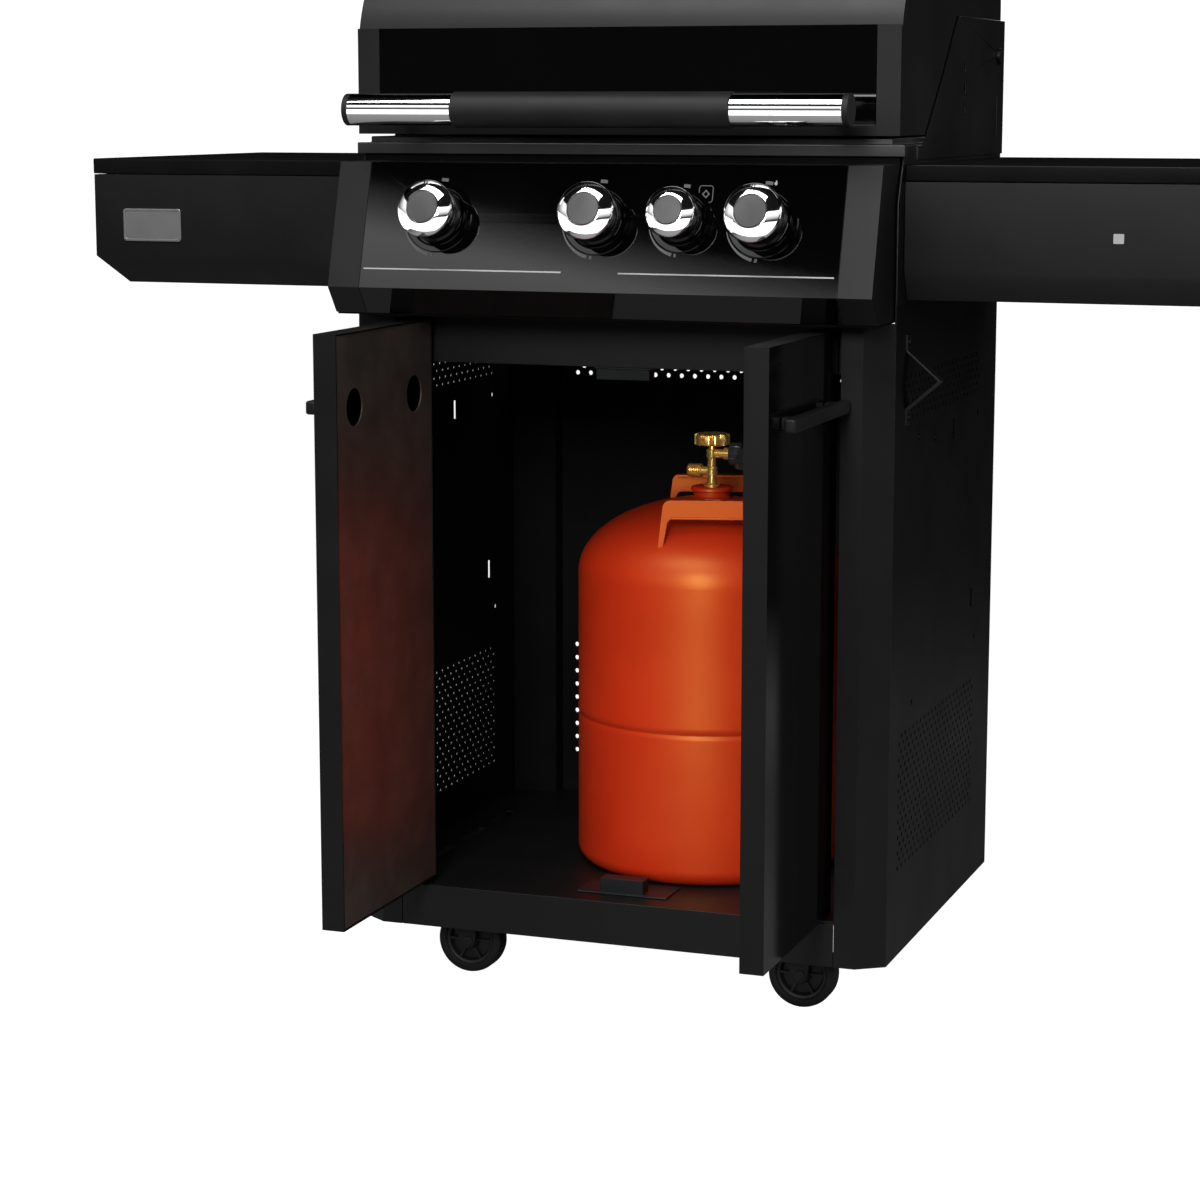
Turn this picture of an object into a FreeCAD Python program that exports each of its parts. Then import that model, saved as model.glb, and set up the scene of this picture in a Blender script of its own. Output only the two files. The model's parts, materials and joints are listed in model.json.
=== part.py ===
"""Gas barbecue grill on a two-door cabinet, with side shelves and a gas cylinder inside.

Millimetres, +Z up.  The origin is on the floor, under the middle of the whole grill's box, with
the doors open.  Heights in the code are measured from the cabinet's lower edge and depths from
the cabinet's flat front plane; place() adds the two offsets that bring them to the origin.
X runs across the grill, seen from the front.  Doors stand open at 90 degrees, the hood is shut.
"""
import FreeCAD
import Part
import Sketcher
import math
import os
import re

doc = FreeCAD.newDocument("gas_grill")

# ---------------------------------------------------------------------------- driving dimensions
SIZES = {
    # cabinet
    "cabinet_width": 600, "cabinet_depth": 488, "base_height": 59.5, "front_y": -132.25,
    "skin": 2, "corner_x": 29, "corner_y": 20, "opening_half": 248, "lip_height": 47.4,
    "side_height": 697, "back_height": 622, "post_height": 678, "post_return": 27,
    "beam_bottom": 623.4, "beam_height": 52, "beam_front": 30.5, "beam_depth": 30,
    # perforated zones
    "hole_radius": 2.7, "hole_step": 8.4, "rib_width": 56, "rib_depth": 24,
    # doors
    "door_width": 243, "door_height": 618, "door_thick": 25, "door_bottom": 53.2, "door_sheet": 1.5,
    "hinge_x": 232, "hinge_y": 7, "hinge_edge": 12.5, "pin_radius": 4, "running_gap": 0.06,
    "access_radius": 19.5, "handle_level": 594.3, "handle_length": 200,
    "handle_reach": 20, "handle_thick": 11, "handle_high": 14, "handle_screw_gap": 151.5,
    # control panel
    "panel_half": 260.5, "cap_half": 296.5, "panel_top_y": -28, "panel_top_z": 838.6,
    "panel_low_y": -65.4, "panel_low_z": 708.2, "panel_foot_y": -44.5, "panel_foot_z": 680.5,
    "panel_sheet": 3, "panel_back": 36, "cap_sheet": 2.5,
    # knobs
    "knob_drop": 59, "knob_radius": 30.5, "small_knob_radius": 26.5,
    "knob_gap": 5, "stem_radius": 4, "outer_knob_x": 177, "small_knob_x": 90.5,
    # firebox and rim
    "firebox_half": 283, "firebox_front": 40, "firebox_back": 440, "firebox_bottom": 713,
    "firebox_top": 846, "firebox_wall": 3, "rim_low_half": 297.5, "rim_low_high": 12,
    "rim_top_half": 289, "rim_top_high": 6.5, "rim_front": 35, "rim_lip_half": 303.3, "rim_inner_half": 274,
    # rear housing
    "housing_top": 992, "housing_back_low": 712, "housing_back_top": 900, "pivot_y": 455,
    "pivot_z": 952, "pivot_radius": 5,
    # hood
    "hood_half": 299.2, "hood_bottom": 867, "hood_front": 25, "hood_sheet": 2, "hood_band": 25,
    "hood_rise": 978, "hood_shoulder_y": 66, "hood_shoulder_z": 1058, "hood_brow_y": 140,
    "hood_top": 1108, "hood_crown_y": 385, "hood_rear": 478, "hood_rear_z": 1028,
    "hood_rear_low": 962,
    "bar_y": -62, "bar_z": 893, "bar_radius": 16.5, "bar_half": 266, "grip_radius": 18.4,
    "grip_half": 150, "mount_x": 238,
    # shelves
    "shelf_half": 637, "shelf_front": 44.8, "shelf_rear": 467, "shelf_top": 838.3,
    "shelf_lip": 16.8, "skirt_bottom": 729.7, "skirt_low": 700.2, "skirt_slope_x": 35,
    "skirt_slope_y": 13, "seam": 0.8,
    # casters
    "caster_x": 192.6, "caster_front_y": 48, "caster_rear_y": 440, "wheel_radius": 37,
    "wheel_width": 24, "trail": 10, "fork_gap": 1.6, "fork_sheet": 3, "axle_radius": 4,
    "race_radius": 22, "caster_plate": 60,
    # gas cylinder
    "bottle_x": 36, "bottle_y": 230, "bottle_radius": 150, "bottle_straight": 320,
    "bottle_dome": 95, "bottle_wall": 3, "neck_radius": 21.5, "neck_high": 13, "bottle_turn": 16,
    "strap_out": 118, "strap_half": 50, "strap_high": 23, "strap_thick": 4, "strap_top": 427,
    "valve_top": 487, "handwheel_radius": 20,
    # cooking parts
    "burner_radius": 12.5, "burner_x": 178, "grate_bar": 9, "grate_pitch": 20,
    # grease tray
    "tray_half": 235, "tray_front": 62, "tray_length": 380, "tray_high": 22, "tray_bottom": 684,
}

sheet = doc.addObject("Spreadsheet::Sheet", "Sizes")
for row, (alias, value) in enumerate(SIZES.items(), start=1):
    sheet.set("A%d" % row, alias)
    sheet.set("B%d" % row, str(value))
    sheet.setAlias("B%d" % row, alias)
doc.recompute()

FRONT = SIZES["front_y"]
BASE = SIZES["base_height"]
NODES = []


def linked(text):
    """Turns the plain alias names in an expression into references to the sheet."""
    return re.sub(r"[a-z][a-z_]*", lambda word: "Sizes." + word.group(0)
                  if word.group(0) in SIZES else word.group(0), str(text))


def bind(thing, **expressions):
    """Binds properties of an object to expressions made of alias names."""
    for name, text in expressions.items():
        thing.setExpression(name, linked(text))
    return thing


def place(thing, x="0", y="0", z="0", axis=None, turn="0"):
    """Places an object: y from the cabinet's front plane, z from the cabinet's lower edge."""
    if axis is not None:
        thing.Placement.Rotation = FreeCAD.Rotation(FreeCAD.Vector(*axis), 1)
        thing.setExpression("Placement.Rotation.Angle", linked(turn))
    thing.setExpression("Placement.Base.x", linked(x))
    thing.setExpression("Placement.Base.y", linked("front_y + (%s)" % y))
    thing.setExpression("Placement.Base.z", linked("base_height + (%s)" % z))
    return thing


def node(thing, label):
    """Marks an object as a finished sub-part, written to a file of its own."""
    thing.Label = label
    NODES.append(thing)
    return thing


def box(low, size):
    """A block from its low corner and its three sizes, all as expressions."""
    block = doc.addObject("Part::Box", "block")
    bind(block, Length=size[0], Width=size[1], Height=size[2])
    return place(block, *low)


def between(x, y, z):
    """A block between two limits on each axis, each a pair of expressions."""
    size = ["(%s) - (%s)" % (pair[1], pair[0]) for pair in (x, y, z)]
    return box((x[0], y[0], z[0]), size)


def rod(centre, radius, length, axis="z"):
    """A cylinder that starts at a point and runs along an axis, its sizes as expressions."""
    bar = doc.addObject("Part::Cylinder", "rod")
    bind(bar, Radius=radius, Height=length)
    turns = {"x": ((0, 1, 0), "90"), "y": ((1, 0, 0), "-90"), "z": (None, "0")}
    return place(bar, *centre, axis=turns[axis][0], turn=turns[axis][1])


def fuse(*pieces):
    joined = doc.addObject("Part::MultiFuse", "joined")
    joined.Shapes = list(pieces)
    return joined


def group(*pieces):
    """Separate solids that share one node."""
    together = doc.addObject("Part::Compound", "group")
    together.Links = list(pieces)
    return together


def cut(base, *tools):
    trimmed = doc.addObject("Part::Cut", "trimmed")
    trimmed.Base = base
    trimmed.Tool = tools[0] if len(tools) == 1 else fuse(*tools)
    return trimmed


def mirrored(source):
    """The same piece on the other side of the grill."""
    twin = doc.addObject("Part::Mirroring", "mirrored")
    twin.Source = source
    twin.Normal = FreeCAD.Vector(1, 0, 0)
    return twin


def profile(points, width, start, plane="YZ", rounded=None):
    """A body padded from a closed outline whose corners are pairs of expressions.

    plane YZ pads along +X from x = start; XZ pads along +Y from y = start; XY pads up from start.
    rounded gives a radius expression for each corner number that is not sharp.
    """
    body = doc.addObject("PartDesign::Body", "body")
    sketch = body.newObject("Sketcher::SketchObject", "outline")
    role = plane + "_Plane"
    origin_plane = [item for item in body.Origin.OriginFeatures if item.Role == role][0]
    sketch.AttachmentSupport = [(origin_plane, "")]
    sketch.MapMode = "FlatFace"
    count = len(points)
    for corner in range(count):
        here = 2 * math.pi * corner / count
        there = 2 * math.pi * (corner + 1) / count
        ends = [FreeCAD.Vector(50 * math.cos(a), 50 * math.sin(a), 0) for a in (here, there)]
        sketch.addGeometry(Part.LineSegment(*ends), False)
    for corner in range(count):
        sketch.addConstraint(Sketcher.Constraint("Coincident", corner, 2, (corner + 1) % count, 1))
    for corner, (across, up) in enumerate(points):
        for kind, text in (("DistanceX", across), ("DistanceY", up)):
            number = sketch.addConstraint(Sketcher.Constraint(kind, -1, 1, corner, 1, 10.0))
            sketch.setExpression("Constraints[%d]" % number, linked(text))
    pad = body.newObject("PartDesign::Pad", "pad")
    pad.Profile = sketch
    pad.setExpression("Length", linked(width))
    if rounded:
        doc.recompute()
        corners = [sketch.getPoint(number, 1) for number in range(count)]
        for number, radius in rounded.items():
            here = sketch.Placement.multVec(corners[number])
            solid = body.Tip
            near = [index for index, edge in enumerate(solid.Shape.Edges, start=1)
                    if all(abs(vertex.Y - here.y) + abs(vertex.Z - here.z) < 0.01
                           for vertex in edge.Vertexes)]
            fillet = body.newObject("PartDesign::Fillet", "fillet")
            fillet.Base = (solid, ["Edge%d" % near[0]])
            fillet.setExpression("Radius", linked(radius))
            doc.recompute()
    if plane == "YZ":
        place(body, start, "0", "0")
    elif plane == "XZ":
        pad.Reversed = True
        place(body, "0", start, "0")
    else:
        place(body, "0", "0", start)
    return body


def holes(x0, y0, columns, rows):
    """Centres of a staggered grid: every second column starts half a pitch higher."""
    step = SIZES["hole_step"]
    centres = []
    for column in range(columns):
        for row in range(rows):
            centres.append((x0 + column * step, y0 + (2 * row + column % 2) * step))
    return centres


def perforated(width, height, thickness, centres):
    """A flat sheet in the XY plane with round holes, extruded from one face."""
    corners = [(0, 0), (width, 0), (width, height), (0, height), (0, 0)]
    wires = [Part.makePolygon([FreeCAD.Vector(x, y, 0) for x, y in corners])]
    for x, y in centres:
        circle = Part.Circle(FreeCAD.Vector(x, y, 0), FreeCAD.Vector(0, 0, 1), SIZES["hole_radius"])
        wires.append(Part.Wire([circle.toShape()]))
    flat = doc.addObject("Part::Feature", "flat")
    flat.Shape = Part.Face(wires, "Part::FaceMakerBullseye")
    plate = doc.addObject("Part::Extrusion", "plate")
    plate.Base = flat
    plate.Dir = FreeCAD.Vector(0, 0, 1)
    plate.Solid = True
    bind(plate, LengthFwd=thickness)
    return plate


# ------------------------------------------------------------------------------------- cabinet
def floor_tray():
    """Floor sheet with a folded front lip between the posts and flanges on the other sides."""
    wide = ("0 - cabinet_width/2 + skin + 0.5", "cabinet_width/2 - skin - 0.5")
    inner = ("0 - opening_half + 0.5", "opening_half - 0.5")
    rear = "cabinet_depth - skin - 0.5"
    low = ("0", "lip_height - skin")
    slots = [between((x, x + " + 9"), (y, y + " + 60"), ("lip_height - 10", "lip_height + 10"))
             for x in ("-262", "253") for y in ("110", "200", "290")]
    return node(cut(fuse(
        between(wide, ("post_return", rear), ("lip_height - skin", "lip_height")),
        between(inner, ("0", "post_return"), ("lip_height - skin", "lip_height")),
        between(inner, ("0", "skin"), low),
        between(wide, (rear + " - skin", rear), low),
        between((wide[0], wide[0] + " + skin"), ("post_return", rear), low),
        between((wide[1] + " - skin", wide[1]), ("post_return", rear), low),
    ), *slots), "cabinet_floor_tray")


def side_panel():
    """Right side sheet, perforated low down and near the top, with slots and small holes."""
    depth = SIZES["cabinet_depth"] - SIZES["corner_y"] - 2
    low_grid = holes(40, 97, 41, 9)
    top_grid = holes(40, 577, 41, 3)
    plate = perforated(depth, SIZES["side_height"], "skin", low_grid + top_grid)
    plate.Placement.Rotation = FreeCAD.Rotation(FreeCAD.Vector(1, 1, 1), 120)
    plate.setExpression("Placement.Base.x", linked("cabinet_width/2 - skin"))
    plate.setExpression("Placement.Base.y", linked("front_y + corner_y + 2"))
    plate.setExpression("Placement.Base.z", linked("base_height"))
    through = ("cabinet_width/2 - 5", "cabinet_width/2 + 5")
    slots = [("278", "533"), ("381", "328")]
    tools = [between(through, (y, y + " + 9"), (z, z + " + 22")) for y, z in slots]
    tools += [rod(("cabinet_width/2 - 5", y, z), "3.5", "10", "x")
              for y, z in (("399", "551"), ("405", "290"), ("112", "268"))]
    return cut(plate, *tools)


def back_panel():
    """Back sheet with vent holes and a folded rib in each rear corner."""
    width = SIZES["cabinet_width"] - 2 * SIZES["skin"] - 1
    grid = holes(75.5, 99, 54, 9) + holes(77, 573, 53, 1)
    plate = perforated(width, SIZES["back_height"], "skin", grid)
    place(plate, "0 - cabinet_width/2 + skin + 0.5", "cabinet_depth", "0", (1, 0, 0), "90")
    edge = "cabinet_width/2 - skin - 1"
    deep = ("cabinet_depth - skin - rib_depth", "cabinet_depth - skin")
    tall = ("lip_height", "beam_bottom + beam_height")
    rib = cut(
        between((edge + " - rib_width", edge), deep, tall),
        between((edge + " - rib_width + skin", edge + " - skin"), (deep[0] + " + skin", deep[1]),
                (tall[0], tall[1])),
    )
    return node(fuse(plate, rib, mirrored(rib)), "back_panel")


def front_post():
    """Folded right corner post: side, chamfered corner, front face and return."""
    half = "cabinet_width/2"
    flat = "cabinet_width/2 - corner_x"
    points = [
        (half, "front_y + corner_y + 2"), (half, "front_y + corner_y"), (flat, "front_y"),
        ("opening_half", "front_y"), ("opening_half", "front_y + post_return"),
        ("opening_half + skin", "front_y + post_return"),
        ("opening_half + skin", "front_y + skin"), (flat + " - 0.7", "front_y + skin"),
        (half + " - skin", "front_y + corner_y + 1.1"), (half + " - skin", "front_y + corner_y + 2"),
    ]
    post = profile(points, "post_height", "0", "XY")
    post.setExpression("Placement.Base.y", linked("0"))
    return post


def header_beam():
    """Channel above the doors, open at the back."""
    wide = ("0 - cabinet_width/2 + skin + 0.5", "cabinet_width/2 - skin - 0.5")
    return node(cut(
        between(wide, ("beam_front", "beam_front + beam_depth"),
                ("beam_bottom", "beam_bottom + beam_height")),
        between(("0 - cabinet_width", "cabinet_width"), ("beam_front + skin", "100"),
                ("beam_bottom + skin", "beam_bottom + beam_height - skin")),
    ), "door_header_beam")


def door_catches():
    """A magnetic catch under the beam and one on the floor, each a block on its plate."""
    top = fuse(
        between(("-32", "32"), ("31", "57"), ("beam_bottom - 2", "beam_bottom")),
        between(("-30", "30"), ("32", "50"), ("beam_bottom - 13", "beam_bottom - 2")),
    )
    low = fuse(
        between(("-52", "52"), ("29", "78"), ("lip_height", "lip_height + 2")),
        between(("-25", "25"), ("30", "48"), ("lip_height + 2", "lip_height + 18")),
    )
    return node(group(top, low), "door_catches")


def hinge_plates():
    """Plates on the right post that hold the door's pins, and the bolted leaf beside them."""
    pieces = [between(("opening_half - 2", "opening_half + 0.5"), ("18", "26.8"), ("597", "628"))]
    for low, high in (("lip_height + 0.2", "lip_height + 2.7"), ("post_height - 4.5", "post_height - 2")):
        blank = between(("hinge_x - 9", "opening_half + 0.5"), ("hinge_y - 6.5", "hinge_y + 9"),
                        (low, high))
        bore = rod(("hinge_x", "hinge_y", low + " - 5"), "pin_radius + running_gap", "15")
        pieces.append(cut(blank, bore))
    return pieces


floor_tray()
panel = side_panel()
node(panel, "right_side_panel")
node(mirrored(panel), "left_side_panel")
back_panel()
right_post = fuse(front_post(), *hinge_plates())
node(right_post, "front_right_post")
node(mirrored(right_post), "front_left_post")
header_beam()
door_catches()


# --------------------------------------------------------------------------------------- doors
def door(side):
    """One door, open at 90 degrees: outer shell with its two hinge pins, inner liner, bar handle.

    The right door is drawn; side -1 mirrors every piece.
    """
    name = "right" if side > 0 else "left"
    outer = "hinge_x + 7"
    inner = "hinge_x + 7 - door_thick"
    free = "hinge_y + hinge_edge - door_width"
    edge = "hinge_y + hinge_edge"
    low = "door_bottom"
    high = "door_bottom + door_height"
    thick = "door_sheet"
    pins = [rod(("hinge_x", "hinge_y", "lip_height + 0.3"), "pin_radius", "25"),
            rod(("hinge_x", "hinge_y", "post_height - 26"), "pin_radius", "25.4")]
    shell = fuse(cut(
        between((inner, outer), (free, edge), (low, high)),
        between((inner + " - 1", outer + " - " + thick), (free + " + " + thick, edge + " - " + thick),
                (low + " + " + thick, high + " - " + thick)),
    ), *pins)
    margin = " + door_sheet + 0.5"
    liner = cut(
        between((inner + " + 1", inner + " + 1 + door_sheet"),
                (free + margin, edge + " - door_sheet - 0.5"),
                (low + margin, high + " - door_sheet - 0.5")),
        rod((inner + " - 5", "hinge_y + hinge_edge - 46", "handle_level"), "access_radius", "15", "x"),
        rod((inner + " - 5", "hinge_y + hinge_edge - 46 - handle_screw_gap", "handle_level"),
            "access_radius", "15", "x"),
    )
    middle = "hinge_y + hinge_edge - 46 - handle_screw_gap/2"
    level = ("handle_level - handle_high/2", "handle_level + handle_high/2")
    legs = [between((outer, outer + " + handle_reach - handle_thick"),
                    (spot + " - 6", spot + " + 6"), level)
            for spot in (middle + " - handle_screw_gap/2", middle + " + handle_screw_gap/2")]
    handle = fuse(
        between((outer + " + handle_reach - handle_thick", outer + " + handle_reach"),
                (middle + " - handle_length/2", middle + " + handle_length/2"), level),
        *legs,
    )
    for piece, label in ((shell, "shell"), (liner, "liner"), (handle, "handle")):
        node(piece if side > 0 else mirrored(piece), name + "_door_" + label)


door(1)
door(-1)


# ------------------------------------------------------------------------------- control panel
TILT = math.degrees(math.atan2(SIZES["panel_top_y"] - SIZES["panel_low_y"],
                               SIZES["panel_top_z"] - SIZES["panel_low_z"]))
SIN = math.sin(math.radians(TILT))
COS = math.cos(math.radians(TILT))
KNOBS = {"left": (-SIZES["outer_knob_x"], "knob_radius"), "centre": (0, "knob_radius"),
         "small": (SIZES["small_knob_x"], "small_knob_radius"),
         "right": (SIZES["outer_knob_x"], "knob_radius")}


def on_panel(x, drop, out=0.0):
    """A point of the sloping panel: drop down the slope from its top edge, out along its normal."""
    y = SIZES["panel_top_y"] - drop * SIN - out * COS
    z = SIZES["panel_top_z"] - drop * COS + out * SIN
    return FreeCAD.Vector(x, FRONT + y, BASE + z)


def turned(thing, x, drop, out):
    """Places an object that was drawn about +Z so that its axis runs out along the panel's normal."""
    rotation = FreeCAD.Rotation(FreeCAD.Vector(1, 0, 0), 90 - TILT)
    thing.Placement = FreeCAD.Placement(on_panel(x, drop, out), rotation)
    return thing


def disc(x, drop, out, radius, length):
    """A cylinder standing on the panel at a distance out from it."""
    round_bar = doc.addObject("Part::Cylinder", "round_bar")
    bind(round_bar, Radius=radius, Height=length)
    return turned(round_bar, x, drop, out)


def cone(x, drop, out, near, far, length):
    taper = doc.addObject("Part::Cone", "taper")
    bind(taper, Radius1=near, Radius2=far, Height=length)
    return turned(taper, x, drop, out)


def control_panel():
    """Frame behind the panel, gloss face with a folded foot, and the two end caps."""
    half = ("0 - cap_half + 0.5", "cap_half - 0.5")
    ledge = ("0 - panel_half", "panel_half")
    wall = cut(
        between(half, ("panel_back", "panel_back + skin"), ("panel_foot_z - skin", "firebox_top")),
        *[rod((x, "panel_back - 10", "761"), "burner_radius + 1.5", "30", "y")
          for x in ("0 - burner_x", "0", "burner_x")],
        rod(("262", "panel_back - 10", "698"), "9", "30", "y"),
    )
    node(fuse(
        wall,
        between(half, ("panel_foot_y + 3", "panel_back"), ("panel_foot_z - skin", "panel_foot_z")),
        between(ledge, ("panel_top_y + 4", "panel_back"), ("panel_top_z - skin", "panel_top_z")),
    ), "control_panel_frame")

    top = ("panel_top_y", "panel_top_z")
    low = ("panel_low_y", "panel_low_z")
    foot = ("panel_foot_y", "panel_foot_z")
    blank = profile([
        top, low, foot, ("panel_foot_y + panel_sheet", "panel_foot_z"),
        ("panel_low_y + panel_sheet*1.1", "panel_low_z + 0.6"),
        ("panel_top_y + panel_sheet*1.1", "panel_top_z"),
    ], "2*panel_half", "0 - panel_half")
    stem_holes = [disc(x, SIZES["knob_drop"], -12, "stem_radius + 1.5", "24") for x, _ in KNOBS.values()]
    node(cut(blank, *stem_holes), "control_panel_face")

    outer = profile([top, low, foot, ("panel_back", "panel_foot_z"), ("panel_back", "panel_top_z")],
                    "cap_half - panel_half - 0.4", "panel_half + 0.4")
    wall = "cap_sheet"
    inner = profile([
        ("panel_top_y + cap_sheet", "panel_top_z - cap_sheet"),
        ("panel_low_y + 1.1*cap_sheet", "panel_low_z + 0.4*cap_sheet"),
        ("panel_foot_y + 0.6*cap_sheet", "panel_foot_z + cap_sheet"),
        ("panel_back + 5", "panel_foot_z + cap_sheet"), ("panel_back + 5", "panel_top_z - cap_sheet"),
    ], "cap_half - panel_half - cap_sheet", "panel_half - 0.4")
    cap = cut(outer, inner)
    node(group(cap, mirrored(cap)), "panel_end_caps")


def gas_manifold():
    """Supply pipe along the panel with four valves, and its inlet pipe into the cabinet."""
    pieces = [rod(("-215", "-27", "749.5"), "10", "485", "x")]
    for x, _ in KNOBS.values():
        pieces.append(disc(x, SIZES["knob_drop"], -36, "13", "31"))
        lug = on_panel(x, SIZES["knob_drop"] + 12, -24)
        block = doc.addObject("Part::Box", "lug")
        bind(block, Length="18", Width="16", Height="20")
        block.Placement.Base = FreeCAD.Vector(lug.x - 9, lug.y - 6, BASE + 750)
        pieces.append(block)
    pieces.append(rod(("262", "-27", "687"), "7", "60"))
    pieces.append(rod(("262", "-27", "698"), "5.5", "99", "y"))
    pieces.append(rod(("262", "72", "656"), "6.5", "49"))
    pieces.append(rod(("262", "72", "650"), "9", "14"))
    node(fuse(*pieces), "gas_manifold")


def knob(name, x, radius):
    """A valve stem and the knob on it: skirt, waist and flared ring with a sunk disc."""
    drop = SIZES["knob_drop"]
    gap = SIZES["knob_gap"]
    node(disc(x, drop, -4.5, "stem_radius", "30"), "valve_stem_" + name)
    body = fuse(
        cone(x, drop, gap, radius + " - 3", radius + " - 5.5", "12"),
        disc(x, drop, gap + 12, radius + " - 5.5", "17"),
        cone(x, drop, gap + 29, radius + " - 5.5", radius, "10"),
        cone(x, drop, gap + 39, radius, radius + " - 13", "4"),
    )
    node(cut(body, disc(x, drop, gap - 1, "stem_radius + running_gap", "26")), "knob_" + name)


control_panel()
gas_manifold()
for knob_name, (knob_x, knob_radius) in KNOBS.items():
    knob(knob_name, knob_x, knob_radius)


# ------------------------------------------------------------------- firebox and cooking parts
def firebox():
    """Tub with a grate ledge, burner holes, an open floor and rails for the grease tray."""
    half = ("0 - firebox_half", "firebox_half")
    shell = cut(
        between(half, ("firebox_front", "firebox_back"), ("firebox_bottom", "firebox_top")),
        between(("0 - firebox_half + firebox_wall", "firebox_half - firebox_wall"),
                ("firebox_front + firebox_wall", "firebox_back - firebox_wall"),
                ("firebox_bottom + firebox_wall", "firebox_top + 5")),
        between(("-190", "190"), ("120", "360"), ("firebox_bottom - 5", "firebox_bottom + 10")),
        *[rod((x, "firebox_front - 10", "761"), "burner_radius + 1.5", "30", "y")
          for x in ("0 - burner_x", "0", "burner_x")],
    )
    ledge = cut(
        between(("0 - firebox_half + 1", "firebox_half - 1"), ("firebox_front + 1", "firebox_back - 1"),
                ("firebox_top - 16", "firebox_top - 13")),
        between(("0 - firebox_half + 20", "firebox_half - 20"), ("firebox_front + 22", "firebox_back - 22"),
                ("firebox_top - 20", "firebox_top - 5")),
    )
    rail = fuse(
        between(("tray_half + 3", "tray_half + 5"), ("tray_front", "tray_front + tray_length"),
                ("tray_bottom - 2.5", "firebox_bottom")),
        between(("tray_half - 9", "tray_half + 5"), ("tray_front", "tray_front + tray_length"),
                ("tray_bottom - 2.5", "tray_bottom - 0.5")),
    )
    node(fuse(shell, ledge, rail, mirrored(rail)), "firebox")

    low = cut(
        between(("0 - rim_low_half", "rim_low_half"), ("rim_front", "firebox_back + 4"),
                ("firebox_top", "firebox_top + rim_low_high")),
        between(("0 - rim_inner_half", "rim_inner_half"), ("rim_front + 18", "firebox_back - 12"),
                ("firebox_top - 5", "firebox_top + 40")),
    )
    top = cut(
        between(("0 - rim_top_half", "rim_top_half"), ("rim_front - 1", "firebox_back"),
                ("firebox_top + rim_low_high", "firebox_top + rim_low_high + rim_top_high")),
        between(("0 - rim_inner_half", "rim_inner_half"), ("rim_front + 18", "firebox_back - 12"),
                ("firebox_top - 5", "firebox_top + 40")),
    )
    lip = between(("0 - rim_lip_half", "rim_lip_half"), ("rim_front - 6", "rim_front + 5"),
                  ("firebox_top", "firebox_top + rim_low_high"))
    node(fuse(low, top, lip), "firebox_rim")


def rear_housing():
    """Side plates outside the hood and the low back wall, with pivot bores and vent slots."""
    base = "side_height"
    half = "cabinet_width/2"
    lower = profile([
        ("22", base), ("cabinet_depth", base), ("cabinet_depth", "857"), ("46", "857"), ("22", "800"),
    ], "skin", half + " - skin")
    upper = profile([
        ("90", "842"), ("cabinet_depth", "842"), ("cabinet_depth", "housing_top"),
        ("262", "housing_top"), ("202", "932"), ("116", "857"), ("90", "857"),
    ], "skin", half)
    bore = rod((half + " - 10", "pivot_y", "pivot_z"), "pivot_radius + running_gap", "20", "x")
    slots = [between((half + " - 9", half + " + 9"), ("291", "297"), (z, z + " + 11"))
             for z in ("888", "910", "932")]
    slots.append(between((half + " - 9", half + " + 9"), ("452", "455"), ("862", "908")))
    side = cut(fuse(lower, upper), bore, *slots)
    vents = [between(("-%d" % (x + 60), "-%d" % x), ("cabinet_depth - 9", "cabinet_depth + 9"),
                     ("790", "800")) for x in (180, 80, -20, -120, -220)]
    back = cut(
        between(("0 - cabinet_width/2 + skin", "cabinet_width/2 - skin"),
                ("cabinet_depth - skin", "cabinet_depth"), ("housing_back_low", "housing_back_top")),
        *vents,
    )
    node(fuse(side, mirrored(side), back), "rear_housing")


def burners():
    """Three tube burners, the infrared burner on the back wall, and the flame tamers."""
    tubes = [rod((x, "10", "761"), "burner_radius", "400", "y")
             for x in ("0 - burner_x", "0", "burner_x")]
    rear = between(("-200", "200"), ("firebox_back - 11", "firebox_back"),
                   ("firebox_top + 20", "firebox_top + 78"))
    feet = [between((x, x + " + 20"), ("firebox_back - 11", "firebox_back - 8"),
                    ("firebox_top + 18.5", "firebox_top + 25")) for x in ("-190", "170")]
    node(group(*tubes, fuse(rear, *feet)), "burners")

    tamers = []
    for x in (-1, 0, 1):
        centre = "%d*burner_x" % x
        body = doc.addObject("Part::Wedge", "tamer")
        bind(body, Xmin=centre + " - 55", Xmax=centre + " + 55", X2min=centre + " - 6",
             X2max=centre + " + 6", Ymin="0", Ymax="26", Zmin="0", Zmax="340", Z2min="0", Z2max="340")
        place(body, "0", "415", "795", (1, 0, 0), "90")
        hollow = doc.addObject("Part::Wedge", "hollow")
        bind(hollow, Xmin=centre + " - 53", Xmax=centre + " + 53", X2min=centre + " - 5",
             X2max=centre + " + 5", Ymin="-1", Ymax="24", Zmin="-1", Zmax="341", Z2min="-1",
             Z2max="341")
        place(hollow, "0", "415", "795", (1, 0, 0), "90")
        tamers.append(cut(body, hollow))
    node(group(*tamers), "flame_tamers")


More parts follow.
